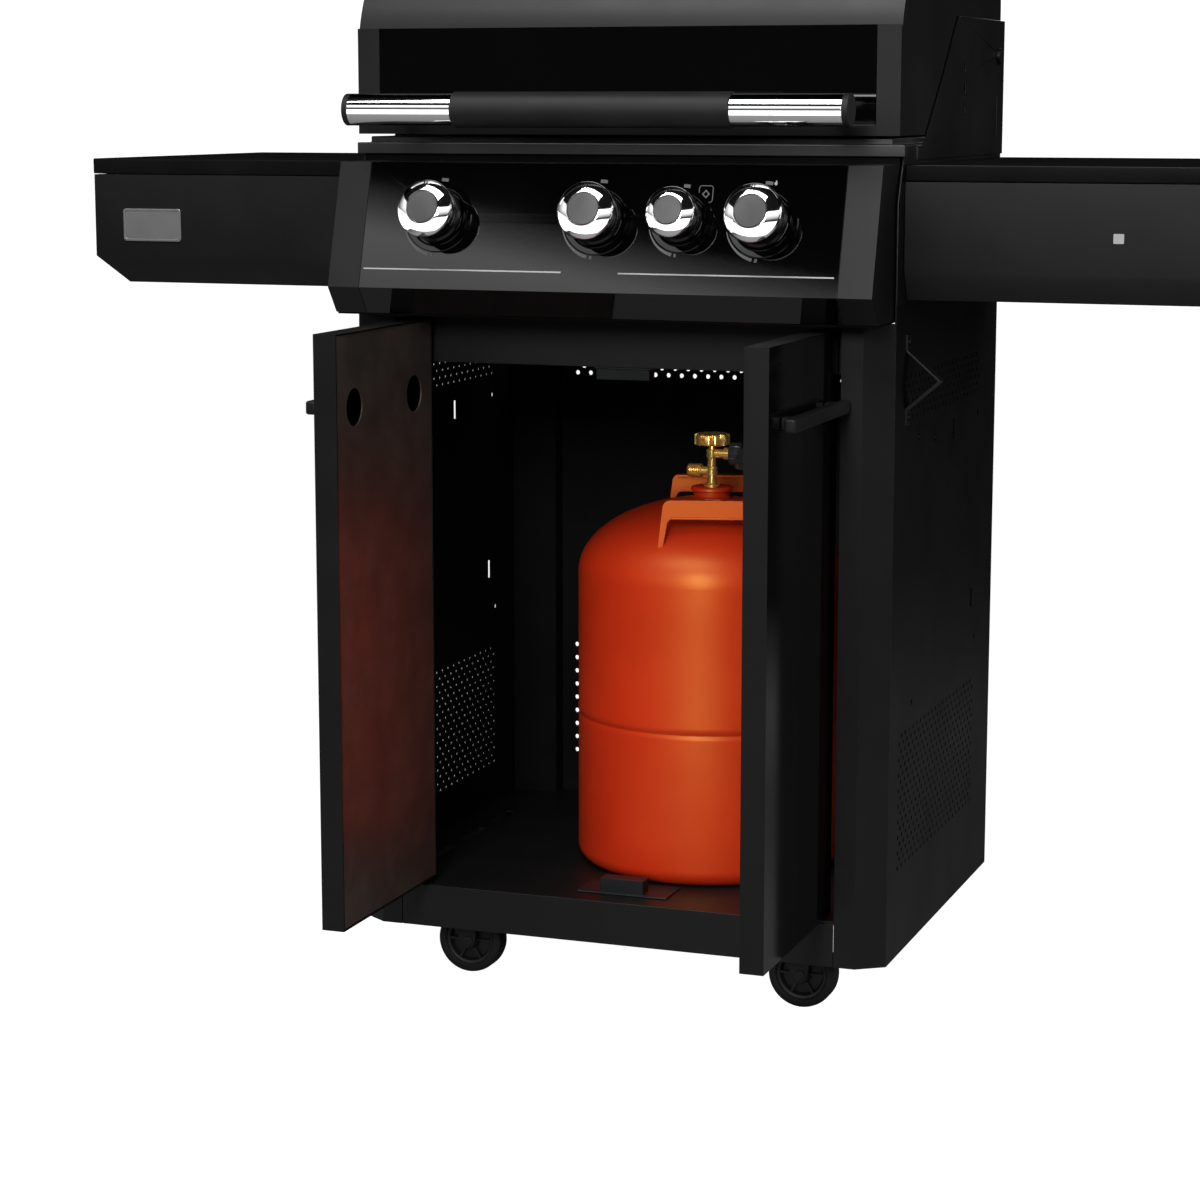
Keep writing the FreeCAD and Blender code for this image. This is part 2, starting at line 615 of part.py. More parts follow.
def cooking_grates():
    """Two cast grates of bars in a frame, resting on the firebox ledge, and a warming rack."""
    grates = []
    front, rear = SIZES["firebox_front"] + 8, SIZES["firebox_back"] - 8
    low, high = "firebox_top - 13", "firebox_top - 3"
    for left, right in ((-273, -1), (1, 273)):
        bars = [between((str(left), str(right)), (str(y), str(y + 9)), (low, high))
                for y in (front, (front + rear) / 2 - 4, rear - 9)]
        count = int((right - left - 9) / SIZES["grate_pitch"])
        step = (right - left - SIZES["grate_bar"]) / count
        for number in range(count + 1):
            x = left + number * step
            bars.append(between((str(x), "%f + grate_bar" % x), (str(front), str(rear)), (low, high)))
        grates.append(fuse(*bars))
    node(group(*grates), "cooking_grates")

    wires = [between((str(x - 2), str(x + 2)), ("290", "410"), ("928", "932"))
             for x in range(-240, 241, 20)]
    rails = [between(("-264", "264"), (y + " - 3", y + " + 3"), ("926", "933"))
             for y in ("290", "350", "410")]
    legs = [between((x + " - 2.5", x + " + 2.5"), (y + " - 2.5", y + " + 2.5"), ("866", "930"))
            for x in ("-258", "258") for y in ("290", "410")]
    feet = [between((x + " - 10", x + " + 10"), (y + " - 7", y + " + 7"), ("864.6", "866.6"))
            for x in ("-264", "264") for y in ("290", "410")]
    node(fuse(*wires, *rails, *legs, *feet), "warming_rack")


def grease_tray():
    """Open tray that slides out at the back, and the cup hanging from it."""
    half = ("0 - tray_half", "tray_half")
    long = ("tray_front", "tray_front + tray_length")
    tray = cut(
        between(half, long, ("tray_bottom", "tray_bottom + tray_high")),
        between(("0 - tray_half + 1.5", "tray_half - 1.5"),
                ("tray_front + 1.5", "tray_front + tray_length - 1.5"),
                ("tray_bottom + 1.5", "tray_bottom + tray_high + 5")),
        rod(("0", "250", "tray_bottom - 5"), "12", "20"),
    )
    node(tray, "grease_tray")
    cup = cut(rod(("0", "250", "tray_bottom - 52"), "38", "50"),
              rod(("0", "250", "tray_bottom - 50"), "36", "60"))
    rim = cut(rod(("0", "250", "tray_bottom - 2"), "42", "2"),
              rod(("0", "250", "tray_bottom - 9"), "36", "20"))
    node(fuse(cup, rim), "grease_cup")


firebox()
rear_housing()
burners()
cooking_grates()
grease_tray()


# ---------------------------------------------------------------------------------------- hood
HOOD_BENDS = {1: "110", 2: "90", 3: "110", 4: "110", 5: "45"}


def hood_outline(inset):
    """The hood's side outline as corner points, moved inwards by a sheet's thickness."""
    low = "hood_bottom" if inset == 0 else "hood_bottom - 5"
    step = str(inset)
    return [
        ("hood_front + 2 + " + step, low), ("hood_front + 2 + " + step, "hood_rise - 0.2*" + step),
        ("hood_shoulder_y + 0.8*" + step, "hood_shoulder_z - 0.7*" + step),
        ("hood_brow_y + 0.3*" + step, "hood_top - " + step),
        ("hood_crown_y - 0.3*" + step, "hood_top - " + step),
        ("hood_rear - " + step, "hood_rear_z - 0.4*" + step),
        ("hood_rear - " + step, "hood_rear_low - 10*" + step),
        ("440 + 3*" + step, low),
    ]


def hood():
    """Hood skin with side walls, front frame and pivot pins, its front panel and its handle."""
    skin = cut(
        profile(hood_outline(0), "2*hood_half", "0 - hood_half", rounded=HOOD_BENDS),
        profile(hood_outline(2), "2*hood_half - 2*hood_sheet", "0 - hood_half + hood_sheet",
                rounded=HOOD_BENDS),
    )
    bands = [between((left, right), ("hood_front", "hood_front + 2.5"), ("hood_bottom", "hood_rise"))
             for left, right in (("0 - hood_half", "0 - hood_half + hood_band"),
                                 ("hood_half - hood_band", "hood_half"))]
    foot = between(("0 - hood_half", "hood_half"), ("hood_front", "hood_front + 2.5"),
                   ("hood_bottom", "hood_bottom + 10"))
    ear = rod(("hood_half - hood_sheet - 6", "pivot_y", "pivot_z"), "14", "6", "x")
    pin = fuse(rod(("hood_half - 10", "pivot_y", "pivot_z"), "pivot_radius", "17", "x"),
               rod(("cabinet_width/2 + 2.5", "pivot_y", "pivot_z"), "9", "4", "x"))
    node(fuse(skin, *bands, foot, ear, mirrored(ear), pin, mirrored(pin)), "hood_shell")

    node(between(("0 - hood_half + hood_band + 0.3", "hood_half - hood_band - 0.3"),
                 ("hood_front + 0.6", "hood_front + 2"), ("hood_bottom + 10.3", "hood_rise")),
         "hood_front_panel")

    tube = cut(rod(("0 - bar_half", "bar_y", "bar_z"), "bar_radius", "2*bar_half", "x"),
               rod(("0 - bar_half - 1", "bar_y", "bar_z"), "bar_radius - 1.5", "2*bar_half + 2", "x"))
    node(tube, "hood_handle_tube")
    grip = cut(rod(("0 - grip_half", "bar_y", "bar_z"), "grip_radius", "2*grip_half", "x"),
               rod(("0 - grip_half - 1", "bar_y", "bar_z"), "bar_radius", "2*grip_half + 2", "x"))
    node(grip, "hood_handle_grip")

    end = rod(("bar_half", "bar_y", "bar_z"), "bar_radius", "6", "x")
    leg = cut(rod(("mount_x", "bar_y", "bar_z"), "9", "hood_front + 0.6 - bar_y", "y"),
              rod(("mount_x - 20", "bar_y", "bar_z"), "bar_radius", "40", "x"))
    node(group(end, mirrored(end), leg, mirrored(leg)), "hood_handle_mounts")


hood()


# ------------------------------------------------------------------------------------- shelves
def skirt_solid(inset):
    """Upper block and tapered lower part of a right shelf's skirt, moved inwards by inset."""
    right = "shelf_half - 0.5 - %s" % inset
    front = "shelf_front + 0.8 + %s" % inset
    rear = "shelf_rear - 1 - %s" % inset
    left = "cabinet_width/2 + 0.3 + %s" % inset
    top = "shelf_top - shelf_lip - seam" if inset == "0" else "shelf_top - shelf_lip + 5"
    upper = between((left, right), (front, rear), ("skirt_bottom", top))
    lower = doc.addObject("Part::Wedge", "taper")
    bind(lower, Xmin=left, Xmax=right + " - skirt_slope_x", X2min=left, X2max=right,
         Ymin="0", Ymax="skirt_bottom - skirt_low",
         Zmin="0 - (%s)" % rear, Zmax="0 - (%s) - skirt_slope_y" % front,
         Z2min="0 - (%s)" % rear, Z2max="0 - (%s)" % front)
    place(lower, "0", "0", "skirt_low" if inset == "0" else "skirt_low - 0.05", (1, 0, 0), "90")
    return fuse(upper, lower)


def right_shelf():
    """Pressed shelf top with a folded lip, and its supports under it."""
    left = "cabinet_width/2 + 0.3"
    top = cut(
        between((left, "shelf_half"), ("shelf_front", "shelf_rear"),
                ("shelf_top - shelf_lip", "shelf_top")),
        between((left + " + skin", "shelf_half - skin"), ("shelf_front + skin", "shelf_rear - skin"),
                ("shelf_top - shelf_lip - 5", "shelf_top - skin")),
    )
    rails = [between((left + " + 3", "shelf_half - 5"), (y, y + " + 18"),
                     ("shelf_top - 30", "shelf_top - skin")) for y in ("90", "400")]
    return top, cut(skirt_solid("0"), skirt_solid("2")), group(*rails)


shelf, skirt, rails = right_shelf()
node(shelf, "right_shelf_top")
node(mirrored(shelf), "left_shelf_top")
node(skirt, "right_shelf_skirt")
node(mirrored(skirt), "left_shelf_skirt")
node(group(rails, mirrored(rails)), "shelf_supports")


def side_fittings():
    """Folded V hook on the right side panel, and the screws that hold it and the panels."""
    half = "cabinet_width/2"
    hook = profile([
        (half, "base_height + 664"), (half + " + 2", "base_height + 664"),
        (half + " + 2", "base_height + 648"), (half + " + 38", "base_height + 617"),
        (half + " + 2", "base_height + 586"), (half + " + 2", "base_height + 570"),
        (half, "base_height + 570"), (half, "base_height + 587.2"),
        (half + " + 34.7", "base_height + 617"), (half, "base_height + 646.8"),
    ], "16", "60", "XZ")
    hook.setExpression("Placement.Base.z", linked("0"))
    node(hook, "bottle_opener")
    spots = [("68", "656", "2"), ("68", "578", "2"), ("122", "552", "0"), ("195", "544", "0")]
    screws = [rod((half + " + " + lift, y, z), "3.6", "2", "x") for y, z, lift in spots]
    node(group(*screws), "panel_screws")


side_fittings()


# ------------------------------------------------------------------------------------- casters
def caster(name, side, y):
    """A swivel fork with its race and axle, and the wheel that turns on the axle."""
    pivot = "%d*caster_x" % side
    axle = pivot + " + trail"
    level = "wheel_radius - base_height"
    half = "wheel_width/2 + fork_gap"
    legs = []
    for low, high in (("0 - (%s) - fork_sheet" % half, "0 - (%s)" % half), (half, half + " + fork_sheet")):
        leg = fuse(
            between((axle + " - 11", axle + " + 11"), (y + " + " + low, y + " + " + high),
                    (level + " - 9", level + " + wheel_radius + 4")),
            between((pivot + " - 16", axle + " + 11"), (y + " + " + low, y + " + " + high),
                    (level + " + 18", level + " + wheel_radius + 4")),
        )
        legs.append(leg)
    crown = between((pivot + " - 18", axle + " + 13"),
                    (y + " - (%s) - fork_sheet" % half, y + " + %s + fork_sheet" % half),
                    (level + " + wheel_radius + 3", level + " + wheel_radius + 6"))
    race = rod((pivot, y, level + " + wheel_radius + 5"), "race_radius",
               "lip_height - skin - 2.7 - (%s + wheel_radius + 5)" % level)
    axle_rod = rod((axle, y + " - (%s) - fork_sheet - 2" % half, level), "axle_radius",
                   "2*(%s + fork_sheet + 2)" % half, "y")
    node(fuse(*legs, crown, race, axle_rod), "caster_fork_" + name)
    wheel = cut(rod((axle, y + " - wheel_width/2", level), "wheel_radius", "wheel_width", "y"),
                rod((axle, y + " - wheel_width", level), "axle_radius + running_gap", "2*wheel_width", "y"))
    node(wheel, "caster_wheel_" + name)
    return between((pivot + " - caster_plate/2", pivot + " + caster_plate/2"),
                   (y + " - caster_plate/2", y + " + caster_plate/2"),
                   ("lip_height - skin - 2.5", "lip_height - skin"))


plates = [
    caster("front_left", -1, "caster_front_y"), caster("front_right", 1, "caster_front_y"),
    caster("rear_left", -1, "caster_rear_y"), caster("rear_right", 1, "caster_rear_y"),
]
node(group(*plates), "caster_plates")


# ---------------------------------------------------------------------------------- gas cylinder
def turned_about_bottle(thing, along, out, z, extra=0):
    """Places an object by its distance along and out from the cylinder's turned axes."""
    turn = math.radians(SIZES["bottle_turn"])
    x = SIZES["bottle_x"] + along * math.cos(turn) + out * math.sin(turn)
    y = SIZES["bottle_y"] + along * math.sin(turn) - out * math.cos(turn)
    spot = FreeCAD.Vector(x, FRONT + y, BASE + SIZES["lip_height"] + z)
    thing.Placement = FreeCAD.Placement(spot, FreeCAD.Rotation(FreeCAD.Vector(0, 0, 1),
                                                               SIZES["bottle_turn"] + extra))
    return thing


def gas_cylinder():
    """Steel cylinder with a domed top and neck, and two carrying straps welded to the dome."""
    radius = SIZES["bottle_radius"]
    straight = SIZES["bottle_straight"]
    dome = SIZES["bottle_dome"]
    neck = SIZES["neck_radius"]
    top = straight + dome * math.sqrt(1 - (neck / radius) ** 2)
    corner = 16
    lift = 0.4
    half = math.sqrt(0.5)
    points = {
        "foot": FreeCAD.Vector(radius - corner, 0, lift),
        "bend": FreeCAD.Vector(radius - corner + corner * half, 0, lift + corner - corner * half),
        "side": FreeCAD.Vector(radius, 0, lift + corner),
        "shoulder": FreeCAD.Vector(radius, 0, straight),
        "neck": FreeCAD.Vector(neck, 0, top),
        "lip": FreeCAD.Vector(neck, 0, top + SIZES["neck_high"]),
    }
    ellipse = Part.Ellipse(FreeCAD.Vector(radius, 0, straight), FreeCAD.Vector(0, 0, straight + dome),
                           FreeCAD.Vector(0, 0, straight))
    first = ellipse.parameter(points["shoulder"])
    last = ellipse.parameter(points["neck"])
    edges = [
        Part.makeLine(FreeCAD.Vector(0, 0, lift), points["foot"]),
        Part.Arc(points["foot"], points["bend"], points["side"]).toShape(),
        Part.makeLine(points["side"], points["shoulder"]),
        ellipse.toShape(min(first, last), max(first, last)),
        Part.makeLine(points["neck"], points["lip"]),
        Part.makeLine(points["lip"], FreeCAD.Vector(0, 0, points["lip"].z)),
        Part.makeLine(FreeCAD.Vector(0, 0, points["lip"].z), FreeCAD.Vector(0, 0, lift)),
    ]
    outline = Part.Wire(Part.__sortEdges__(edges))
    full = doc.addObject("Part::Feature", "bottle")
    full.Shape = Part.Face(outline).revolve(FreeCAD.Vector(0, 0, 0), FreeCAD.Vector(0, 0, 1), 360)
    place(full, "bottle_x", "bottle_y", "lip_height")
    ball = doc.addObject("Part::Ellipsoid", "dome_space")
    bind(ball, Radius1="bottle_dome - bottle_wall", Radius2="bottle_radius - bottle_wall",
         Angle1="0", Angle2="90")
    place(ball, "bottle_x", "bottle_y", "lip_height + bottle_straight - 0.01")
    body = cut(full, ball,
               rod(("bottle_x", "bottle_y", "lip_height + 0.4 + bottle_wall"),
                   "bottle_radius - bottle_wall", "bottle_straight - bottle_wall - 0.4"),
               rod(("bottle_x", "bottle_y", "lip_height + bottle_straight + 40"), "10", "100"))

    straps = []
    for side in (1, -1):
        flat = doc.addObject("Part::Box", "strap")
        bind(flat, Length="2*strap_half", Width="strap_thick", Height="strap_high")
        straps.append(turned_about_bottle(flat, -side * SIZES["strap_half"], side * SIZES["strap_out"],
                                          SIZES["strap_top"] - SIZES["strap_high"],
                                          0 if side > 0 else 180))
        for end in (-1, 1):
            leg = doc.addObject("Part::Box", "strap_leg")
            bind(leg, Length="4", Width="16", Height="76")
            inner = -SIZES["strap_half"] if end < 0 else SIZES["strap_half"] - 4
            if side > 0:
                straps.append(turned_about_bottle(leg, inner, SIZES["strap_out"], 350))
            else:
                straps.append(turned_about_bottle(leg, inner + 4, -SIZES["strap_out"], 350, 180))
    node(fuse(body, *straps), "gas_cylinder")
    return top + SIZES["neck_high"]


def cylinder_valve(neck_top):
    """Brass valve with two branches, its handwheel, and the regulator on the right branch."""
    x, y = "bottle_x", "bottle_y"
    z = "lip_height + %f" % neck_top
    height = SIZES["valve_top"] - neck_top
    node(fuse(
        rod((x, y, z + " - 12"), "9.9", "12.5"),
        rod((x, y, z), "5.5", "%f" % (height - 14)),
        rod((x, y, z + " + 4"), "9", "10"),
        rod((x + " - 26", y, z + " + 17"), "5", "26", "x"),
        rod((x + " - 28", y, z + " + 17"), "8", "16", "x"),
        rod((x, y, z + " + 38"), "5", "22", "x"),
    ), "cylinder_valve")
    wheel = cut(rod((x, y, "lip_height + valve_top - 13.5"), "handwheel_radius", "13.5"),
                *[rod((x + " + %f" % (24 * math.cos(a)), y + " + %f" % (24 * math.sin(a)),
                       "lip_height + valve_top - 20"), "6", "30")
                  for a in [math.radians(45 * number) for number in range(8)]])
    node(wheel, "valve_handwheel")
    node(fuse(rod((x + " + 22.2", y, z + " + 38"), "13", "20", "x"),
              rod((x + " + 50", y, z + " + 21"), "24", "25")), "gas_regulator")


cylinder_valve(gas_cylinder())


# --------------------------------------------------------------------------- checks and export
doc.recompute()
for thing in doc.Objects:
    bad = [state for state in thing.State if state in ("Invalid", "Error")]
    if bad:
        raise RuntimeError("%s (%s) failed: %s" % (thing.Name, thing.Label, bad))
for thing in NODES:
    if thing.Shape.isNull() or not thing.Shape.isValid():
        raise RuntimeError("no valid shape for " + thing.Label)

os.makedirs("parts", exist_ok=True)
whole = FreeCAD.BoundBox()
for thing in NODES:
    thing.Shape.exportStep(os.path.join("parts", thing.Label + ".step"))
    whole.add(thing.Shape.BoundBox)
print(len(NODES), "sub-parts, box", whole)
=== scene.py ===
"""Looks of the gas barbecue grill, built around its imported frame.

Placements are in metres, +Z up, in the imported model's own frame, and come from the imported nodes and
joints.  Outlines, slabs, heights and bevels are in millimetres of their placement.
"""

import json
import math

import bpy
from mathutils import Matrix, Vector

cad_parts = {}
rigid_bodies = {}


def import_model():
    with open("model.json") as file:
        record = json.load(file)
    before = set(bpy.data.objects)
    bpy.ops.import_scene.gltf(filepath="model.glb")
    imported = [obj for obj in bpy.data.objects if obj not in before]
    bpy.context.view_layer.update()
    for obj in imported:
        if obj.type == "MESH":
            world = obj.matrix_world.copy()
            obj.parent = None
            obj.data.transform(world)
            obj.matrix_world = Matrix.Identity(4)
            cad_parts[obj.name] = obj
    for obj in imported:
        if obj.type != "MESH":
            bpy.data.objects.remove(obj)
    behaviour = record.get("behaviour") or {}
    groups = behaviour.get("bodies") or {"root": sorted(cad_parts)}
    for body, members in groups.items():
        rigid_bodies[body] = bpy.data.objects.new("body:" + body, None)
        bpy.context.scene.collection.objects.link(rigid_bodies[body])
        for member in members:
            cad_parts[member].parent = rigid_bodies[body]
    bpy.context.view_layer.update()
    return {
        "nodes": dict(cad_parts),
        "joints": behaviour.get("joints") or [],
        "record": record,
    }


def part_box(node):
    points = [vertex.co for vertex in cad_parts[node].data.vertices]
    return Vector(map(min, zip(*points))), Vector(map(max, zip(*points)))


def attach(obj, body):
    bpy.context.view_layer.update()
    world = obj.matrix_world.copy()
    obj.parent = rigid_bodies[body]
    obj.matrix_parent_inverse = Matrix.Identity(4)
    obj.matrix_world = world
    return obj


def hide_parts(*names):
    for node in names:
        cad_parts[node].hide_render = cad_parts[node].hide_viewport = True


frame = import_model()
JOINTS = {joint["name"]: joint for joint in frame["joints"]}
NODES = frame["nodes"]
MM = 0.001


# ------------------------------------------------------------------------------------- materials
SMOOTHEST = 0.02
PALER = 1.35


def calculated(tree, operation, *values):
    """A math node's result; each value is a number or another node's output."""
    node = tree.nodes.new("ShaderNodeMath")
    node.operation = operation
    for socket, value in zip(node.inputs, values):
        if isinstance(value, (int, float)):
            socket.default_value = value
        else:
            tree.links.new(value, socket)
    return node.outputs["Value"]


def mapped(tree, value, source, target):
    """A value carried from one range to another, and held at the ends of the second."""
    node = tree.nodes.new("ShaderNodeMapRange")
    for label, number in zip(("From Min", "From Max", "To Min", "To Max"), (*source, *target)):
        node.inputs[label].default_value = number
    tree.links.new(value, node.inputs["Value"])
    return node.outputs["Result"]


def surface(name, colour, roughness, metallic=0.0, specular=0.5, coat=0.0, grain=(900, 0.0),
            blotch=(9, 0.0), second=None, mottle=14, brushed=None, streak=0.0, tint=(1, 1, 1),
            sleek=0.0):
    """A procedural finish.

    grain is the scale and height (mm) of the bump, blotch the scale and size of the change in
    roughness, second a colour mixed in patches of scale mottle, brushed a stretch along each axis.
    streak is how much the grain adds to the roughness, tint the colour of the gloss, and sleek how
    much smoother the faces that look along the piece's own X are.
    """
    material = bpy.data.materials.new(name)
    material.use_nodes = True
    tree = material.node_tree
    shader = tree.nodes["Principled BSDF"]
    shader.inputs["Metallic"].default_value = metallic
    shader.inputs["Specular IOR Level"].default_value = specular
    shader.inputs["Specular Tint"].default_value = (*tint, 1)
    shader.inputs["Coat Weight"].default_value = coat
    shader.inputs["Coat Roughness"].default_value = 0.12
    where = tree.nodes.new("ShaderNodeTexCoord")
    stretched = tree.nodes.new("ShaderNodeMapping")
    stretched.inputs["Scale"].default_value = brushed or (1, 1, 1)
    tree.links.new(where.outputs["Object"], stretched.inputs["Vector"])

    def noise(scale, detail, source):
        pattern = tree.nodes.new("ShaderNodeTexNoise")
        pattern.inputs["Scale"].default_value = scale
        pattern.inputs["Detail"].default_value = detail
        tree.links.new(source, pattern.inputs["Vector"])
        return pattern.outputs["Fac"]

    fine = noise(grain[0], 3, stretched.outputs["Vector"])
    patches = noise(blotch[0], 4, where.outputs["Object"])
    level = mapped(tree, patches, (0.3, 0.7),
                   (max(SMOOTHEST, roughness - blotch[1]), roughness + blotch[1]))
    if streak:
        level = calculated(tree, "MULTIPLY_ADD", fine, streak, level)
    elif sleek:
        facing = tree.nodes.new("ShaderNodeSeparateXYZ")
        tree.links.new(where.outputs["Normal"], facing.inputs["Vector"])
        sideways = calculated(tree, "ABSOLUTE", facing.outputs["X"])
        kept = mapped(tree, sideways, (0.6, 0.9), (1.0, 1.0 - sleek))
        level = calculated(tree, "MULTIPLY", level, kept)
    tree.links.new(level, shader.inputs["Roughness"])

    tones = tree.nodes.new("ShaderNodeValToRGB")
    other = second or [channel * PALER for channel in colour]
    tones.color_ramp.elements[0].position = 0.35
    tones.color_ramp.elements[0].color = (*colour, 1)
    tones.color_ramp.elements[1].position = 0.7
    tones.color_ramp.elements[1].color = (*other, 1)
    tree.links.new(noise(mottle, 5, where.outputs["Object"]), tones.inputs["Fac"])
    tree.links.new(tones.outputs["Color"], shader.inputs["Base Color"])
    if grain[1]:
        bump = tree.nodes.new("ShaderNodeBump")
        bump.inputs["Strength"].default_value = 1.0
        bump.inputs["Distance"].default_value = grain[1] * MM
        tree.links.new(fine, bump.inputs["Height"])
        tree.links.new(bump.outputs["Normal"], shader.inputs["Normal"])
    return material


FINISH = {
    "black_steel": surface("powder_coat", (0.005, 0.005, 0.0052), 0.44, specular=0.32,
                           grain=(1500, 0.035), blotch=(7, 0.05), mottle=20),
    "black_side": surface("powder_coat_side", (0.005, 0.005, 0.0052), 0.42, specular=0.16,
                          grain=(1500, 0.03), blotch=(7, 0.04), mottle=20),
    "black_door": surface("powder_coat_door", (0.003, 0.003, 0.0032), 0.44, specular=0.32,
                          grain=(1500, 0.012), blotch=(7, 0.05), mottle=20, sleek=0.84),
    "black_top": surface("powder_coat_top", (0.005, 0.005, 0.0052), 0.25, specular=0.1,
                         grain=(1500, 0.01), blotch=(7, 0.03), mottle=20),
    # The same black powder coat made lighter and glossier for the firebox rim: painted light on its
    # protruding front, which catches more light.
    "black_rim_painted_lit": surface("powder_coat_rim_painted_lit", (0.012, 0.012, 0.0122), 0.40, specular=0.75,
                         grain=(1500, 0.03), blotch=(7, 0.04), mottle=20),
    "gloss_black": surface("gloss_enamel", (0.0008, 0.0008, 0.0009), 0.03, specular=0.5,
                           grain=(240, 0.002), blotch=(12, 0.008), mottle=8),
    "liner_satin": surface("satin_liner", (0.15, 0.126, 0.112), 0.40, metallic=0.8, specular=0.5,
                           grain=(1400, 0.06), blotch=(16, 0.06), mottle=26),
    "galvanised": surface("zinc", (0.36, 0.37, 0.38), 0.42, metallic=0.9, second=(0.52, 0.53, 0.55),
                          mottle=70, grain=(60, 0.03), blotch=(80, 0.08)),
    "stainless": surface("brushed_steel", (0.5, 0.49, 0.47), 0.3, metallic=1.0, brushed=(1, 22, 22),
                         grain=(160, 0.02), streak=0.12),
    "chrome": surface("chrome", (0.86, 0.86, 0.87), 0.06, metallic=1.0, blotch=(30, 0.015),
                      second=(0.9, 0.9, 0.91)),
    "grip_black": surface("grip_plastic", (0.009, 0.009, 0.0093), 0.56, specular=0.3,
                          grain=(1900, 0.05), blotch=(14, 0.04)),
    "knob_finish": surface("knob_plastic", (0.006, 0.006, 0.0065), 0.2, specular=0.5,
                           grain=(700, 0.006), blotch=(40, 0.04)),
    "catch_plastic": surface("catch_plastic", (0.008, 0.009, 0.0095), 0.42, specular=0.3,
                             grain=(1200, 0.03), blotch=(30, 0.05)),
    "brass": surface("brass", (0.88, 0.54, 0.13), 0.26, metallic=0.85, second=(0.95, 0.66, 0.22),
                     mottle=60, grain=(700, 0.02), blotch=(60, 0.06)),
    "cast_iron": surface("cast_iron", (0.014, 0.014, 0.015), 0.55, grain=(420, 0.16),
                         blotch=(20, 0.08), mottle=40),
    "orange_paint": surface("orange_enamel", (0.52, 0.026, 0.006), 0.42, specular=1.0,
                            tint=(1.0, 0.66, 0.2), second=(0.46, 0.022, 0.005), mottle=9, grain=(210, 0.05),
                            blotch=(10, 0.05)),
    "regulator_grey": surface("regulator_plastic", (0.02, 0.022, 0.025), 0.38, grain=(900, 0.03),
                              blotch=(30, 0.05)),
    "caster_steel": surface("caster_plastic", (0.007, 0.007, 0.0072), 0.42, specular=0.35, grain=(900, 0.03),
                            blotch=(30, 0.05)),
    "wheel_rubber": surface("tyre_rubber", (0.006, 0.006, 0.006), 0.6, specular=0.3, grain=(800, 0.06),
                            blotch=(30, 0.06)),
    "print": surface("printed_ink", (0.42, 0.42, 0.42), 0.5, second=(0.46, 0.46, 0.46)),
    "print_dim": surface("printed_grey", (0.10, 0.10, 0.10), 0.5, second=(0.13, 0.13, 0.13)),
    "badge": surface("brushed_badge", (0.42, 0.42, 0.43), 0.34, metallic=1.0, brushed=(3, 60, 60),
                     grain=(90, 0.02), streak=0.12, second=(0.55, 0.55, 0.56)),
    "knob_cap": surface("knob_cap", (0.06, 0.06, 0.06), 0.5, metallic=0.3, grain=(1500, 0.03),
                        second=(0.13, 0.13, 0.13)),
}


# --------------------------------------------------------------------------------- piece helpers
FOLD = 34


def make(name, vertices, faces, material, body, slot=None, replaces=(), sharp=FOLD, bevel=0.0,
         segments=2):
    """Adds a mesh piece in the frame's own coordinates and lets it ride on a body.

    sharp is the angle in degrees past which an edge stays sharp, and bevel its rounding in mm.
    """
    mesh = bpy.data.meshes.new(name)
    mesh.from_pydata([tuple(v) for v in vertices], [], faces)
    mesh.validate()
    mesh.shade_smooth()
    mesh.set_sharp_from_angle(angle=math.radians(sharp))
    mesh.materials.append(FINISH[material])
    piece = bpy.data.objects.new(name, mesh)
    bpy.context.scene.collection.objects.link(piece)
    if bevel:
        soften(piece, bevel, segments)
    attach(piece, body)
    if replaces:
        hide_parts(*replaces)
    return piece


def soften(piece, width, segments=2):
    """Rounds a piece's sharp edges by a modifier, width in mm, so that they catch the light."""
    rounding = piece.modifiers.new("rounding", "BEVEL")
    rounding.width = width * MM
    rounding.segments = segments
    rounding.limit_method = "ANGLE"
    rounding.angle_limit = math.radians(FOLD)
    rounding.harden_normals = False
    shading = piece.modifiers.new("shading", "WEIGHTED_NORMAL")
    shading.keep_sharp = False
    shading.weight = 80


def along(origin, axis, up=(0, 0, 1)):
    """A placement whose Z runs along the axis and whose Y is as near up as it can be."""
    z = Vector(axis).normalized()
    x = Vector(up).cross(z)
    x = x.normalized() if x.length > 1e-6 else Vector((1, 0, 0))
    y = z.cross(x)
    turn = Matrix((x, y, z)).transposed().to_4x4()
    return Matrix.Translation(Vector(origin)) @ turn


def moved(x, y, z):
    """A shift given in millimetres."""
    return Matrix.Translation(Vector((x, y, z)) * MM)


def lathe_mesh(outline, place, steps=72, wobble=None):
    """Vertices and faces of an outline of (radius, height) pairs turned about the placement's Z.

    wobble gives the share of the radius at each angle of the turn.
    """
    vertices = []
    faces = []
    loops = []
    for radius, height in outline:
        if radius == 0:
            loops.append([len(vertices)])
            vertices.append(place @ (Vector((0, 0, height)) * MM))
            continue
        loop = []
        for step in range(steps):
            turn = 2 * math.pi * step / steps
            reach = radius * (wobble(turn) if wobble else 1)
            loop.append(len(vertices))
            point = Vector((reach * math.cos(turn), reach * math.sin(turn), height))
            vertices.append(place @ (point * MM))
        loops.append(loop)
    for near, far in zip(loops, loops[1:]):
        if len(near) == 1 and len(far) == 1:
            continue
        for step in range(steps):
            after = (step + 1) % steps
            if len(near) == 1:
                faces.append((near[0], far[after], far[step]))
            elif len(far) == 1:
                faces.append((near[step], near[after], far[0]))
            else:
                faces.append((near[step], near[after], far[after], far[step]))
    return vertices, faces


def lathe(name, outline, place, material, body, steps=72, wobble=None, **more):
    """Adds a turned piece."""
    vertices, faces = lathe_mesh(outline, place, steps, wobble)
    return make(name, vertices, faces, material, body, **more)


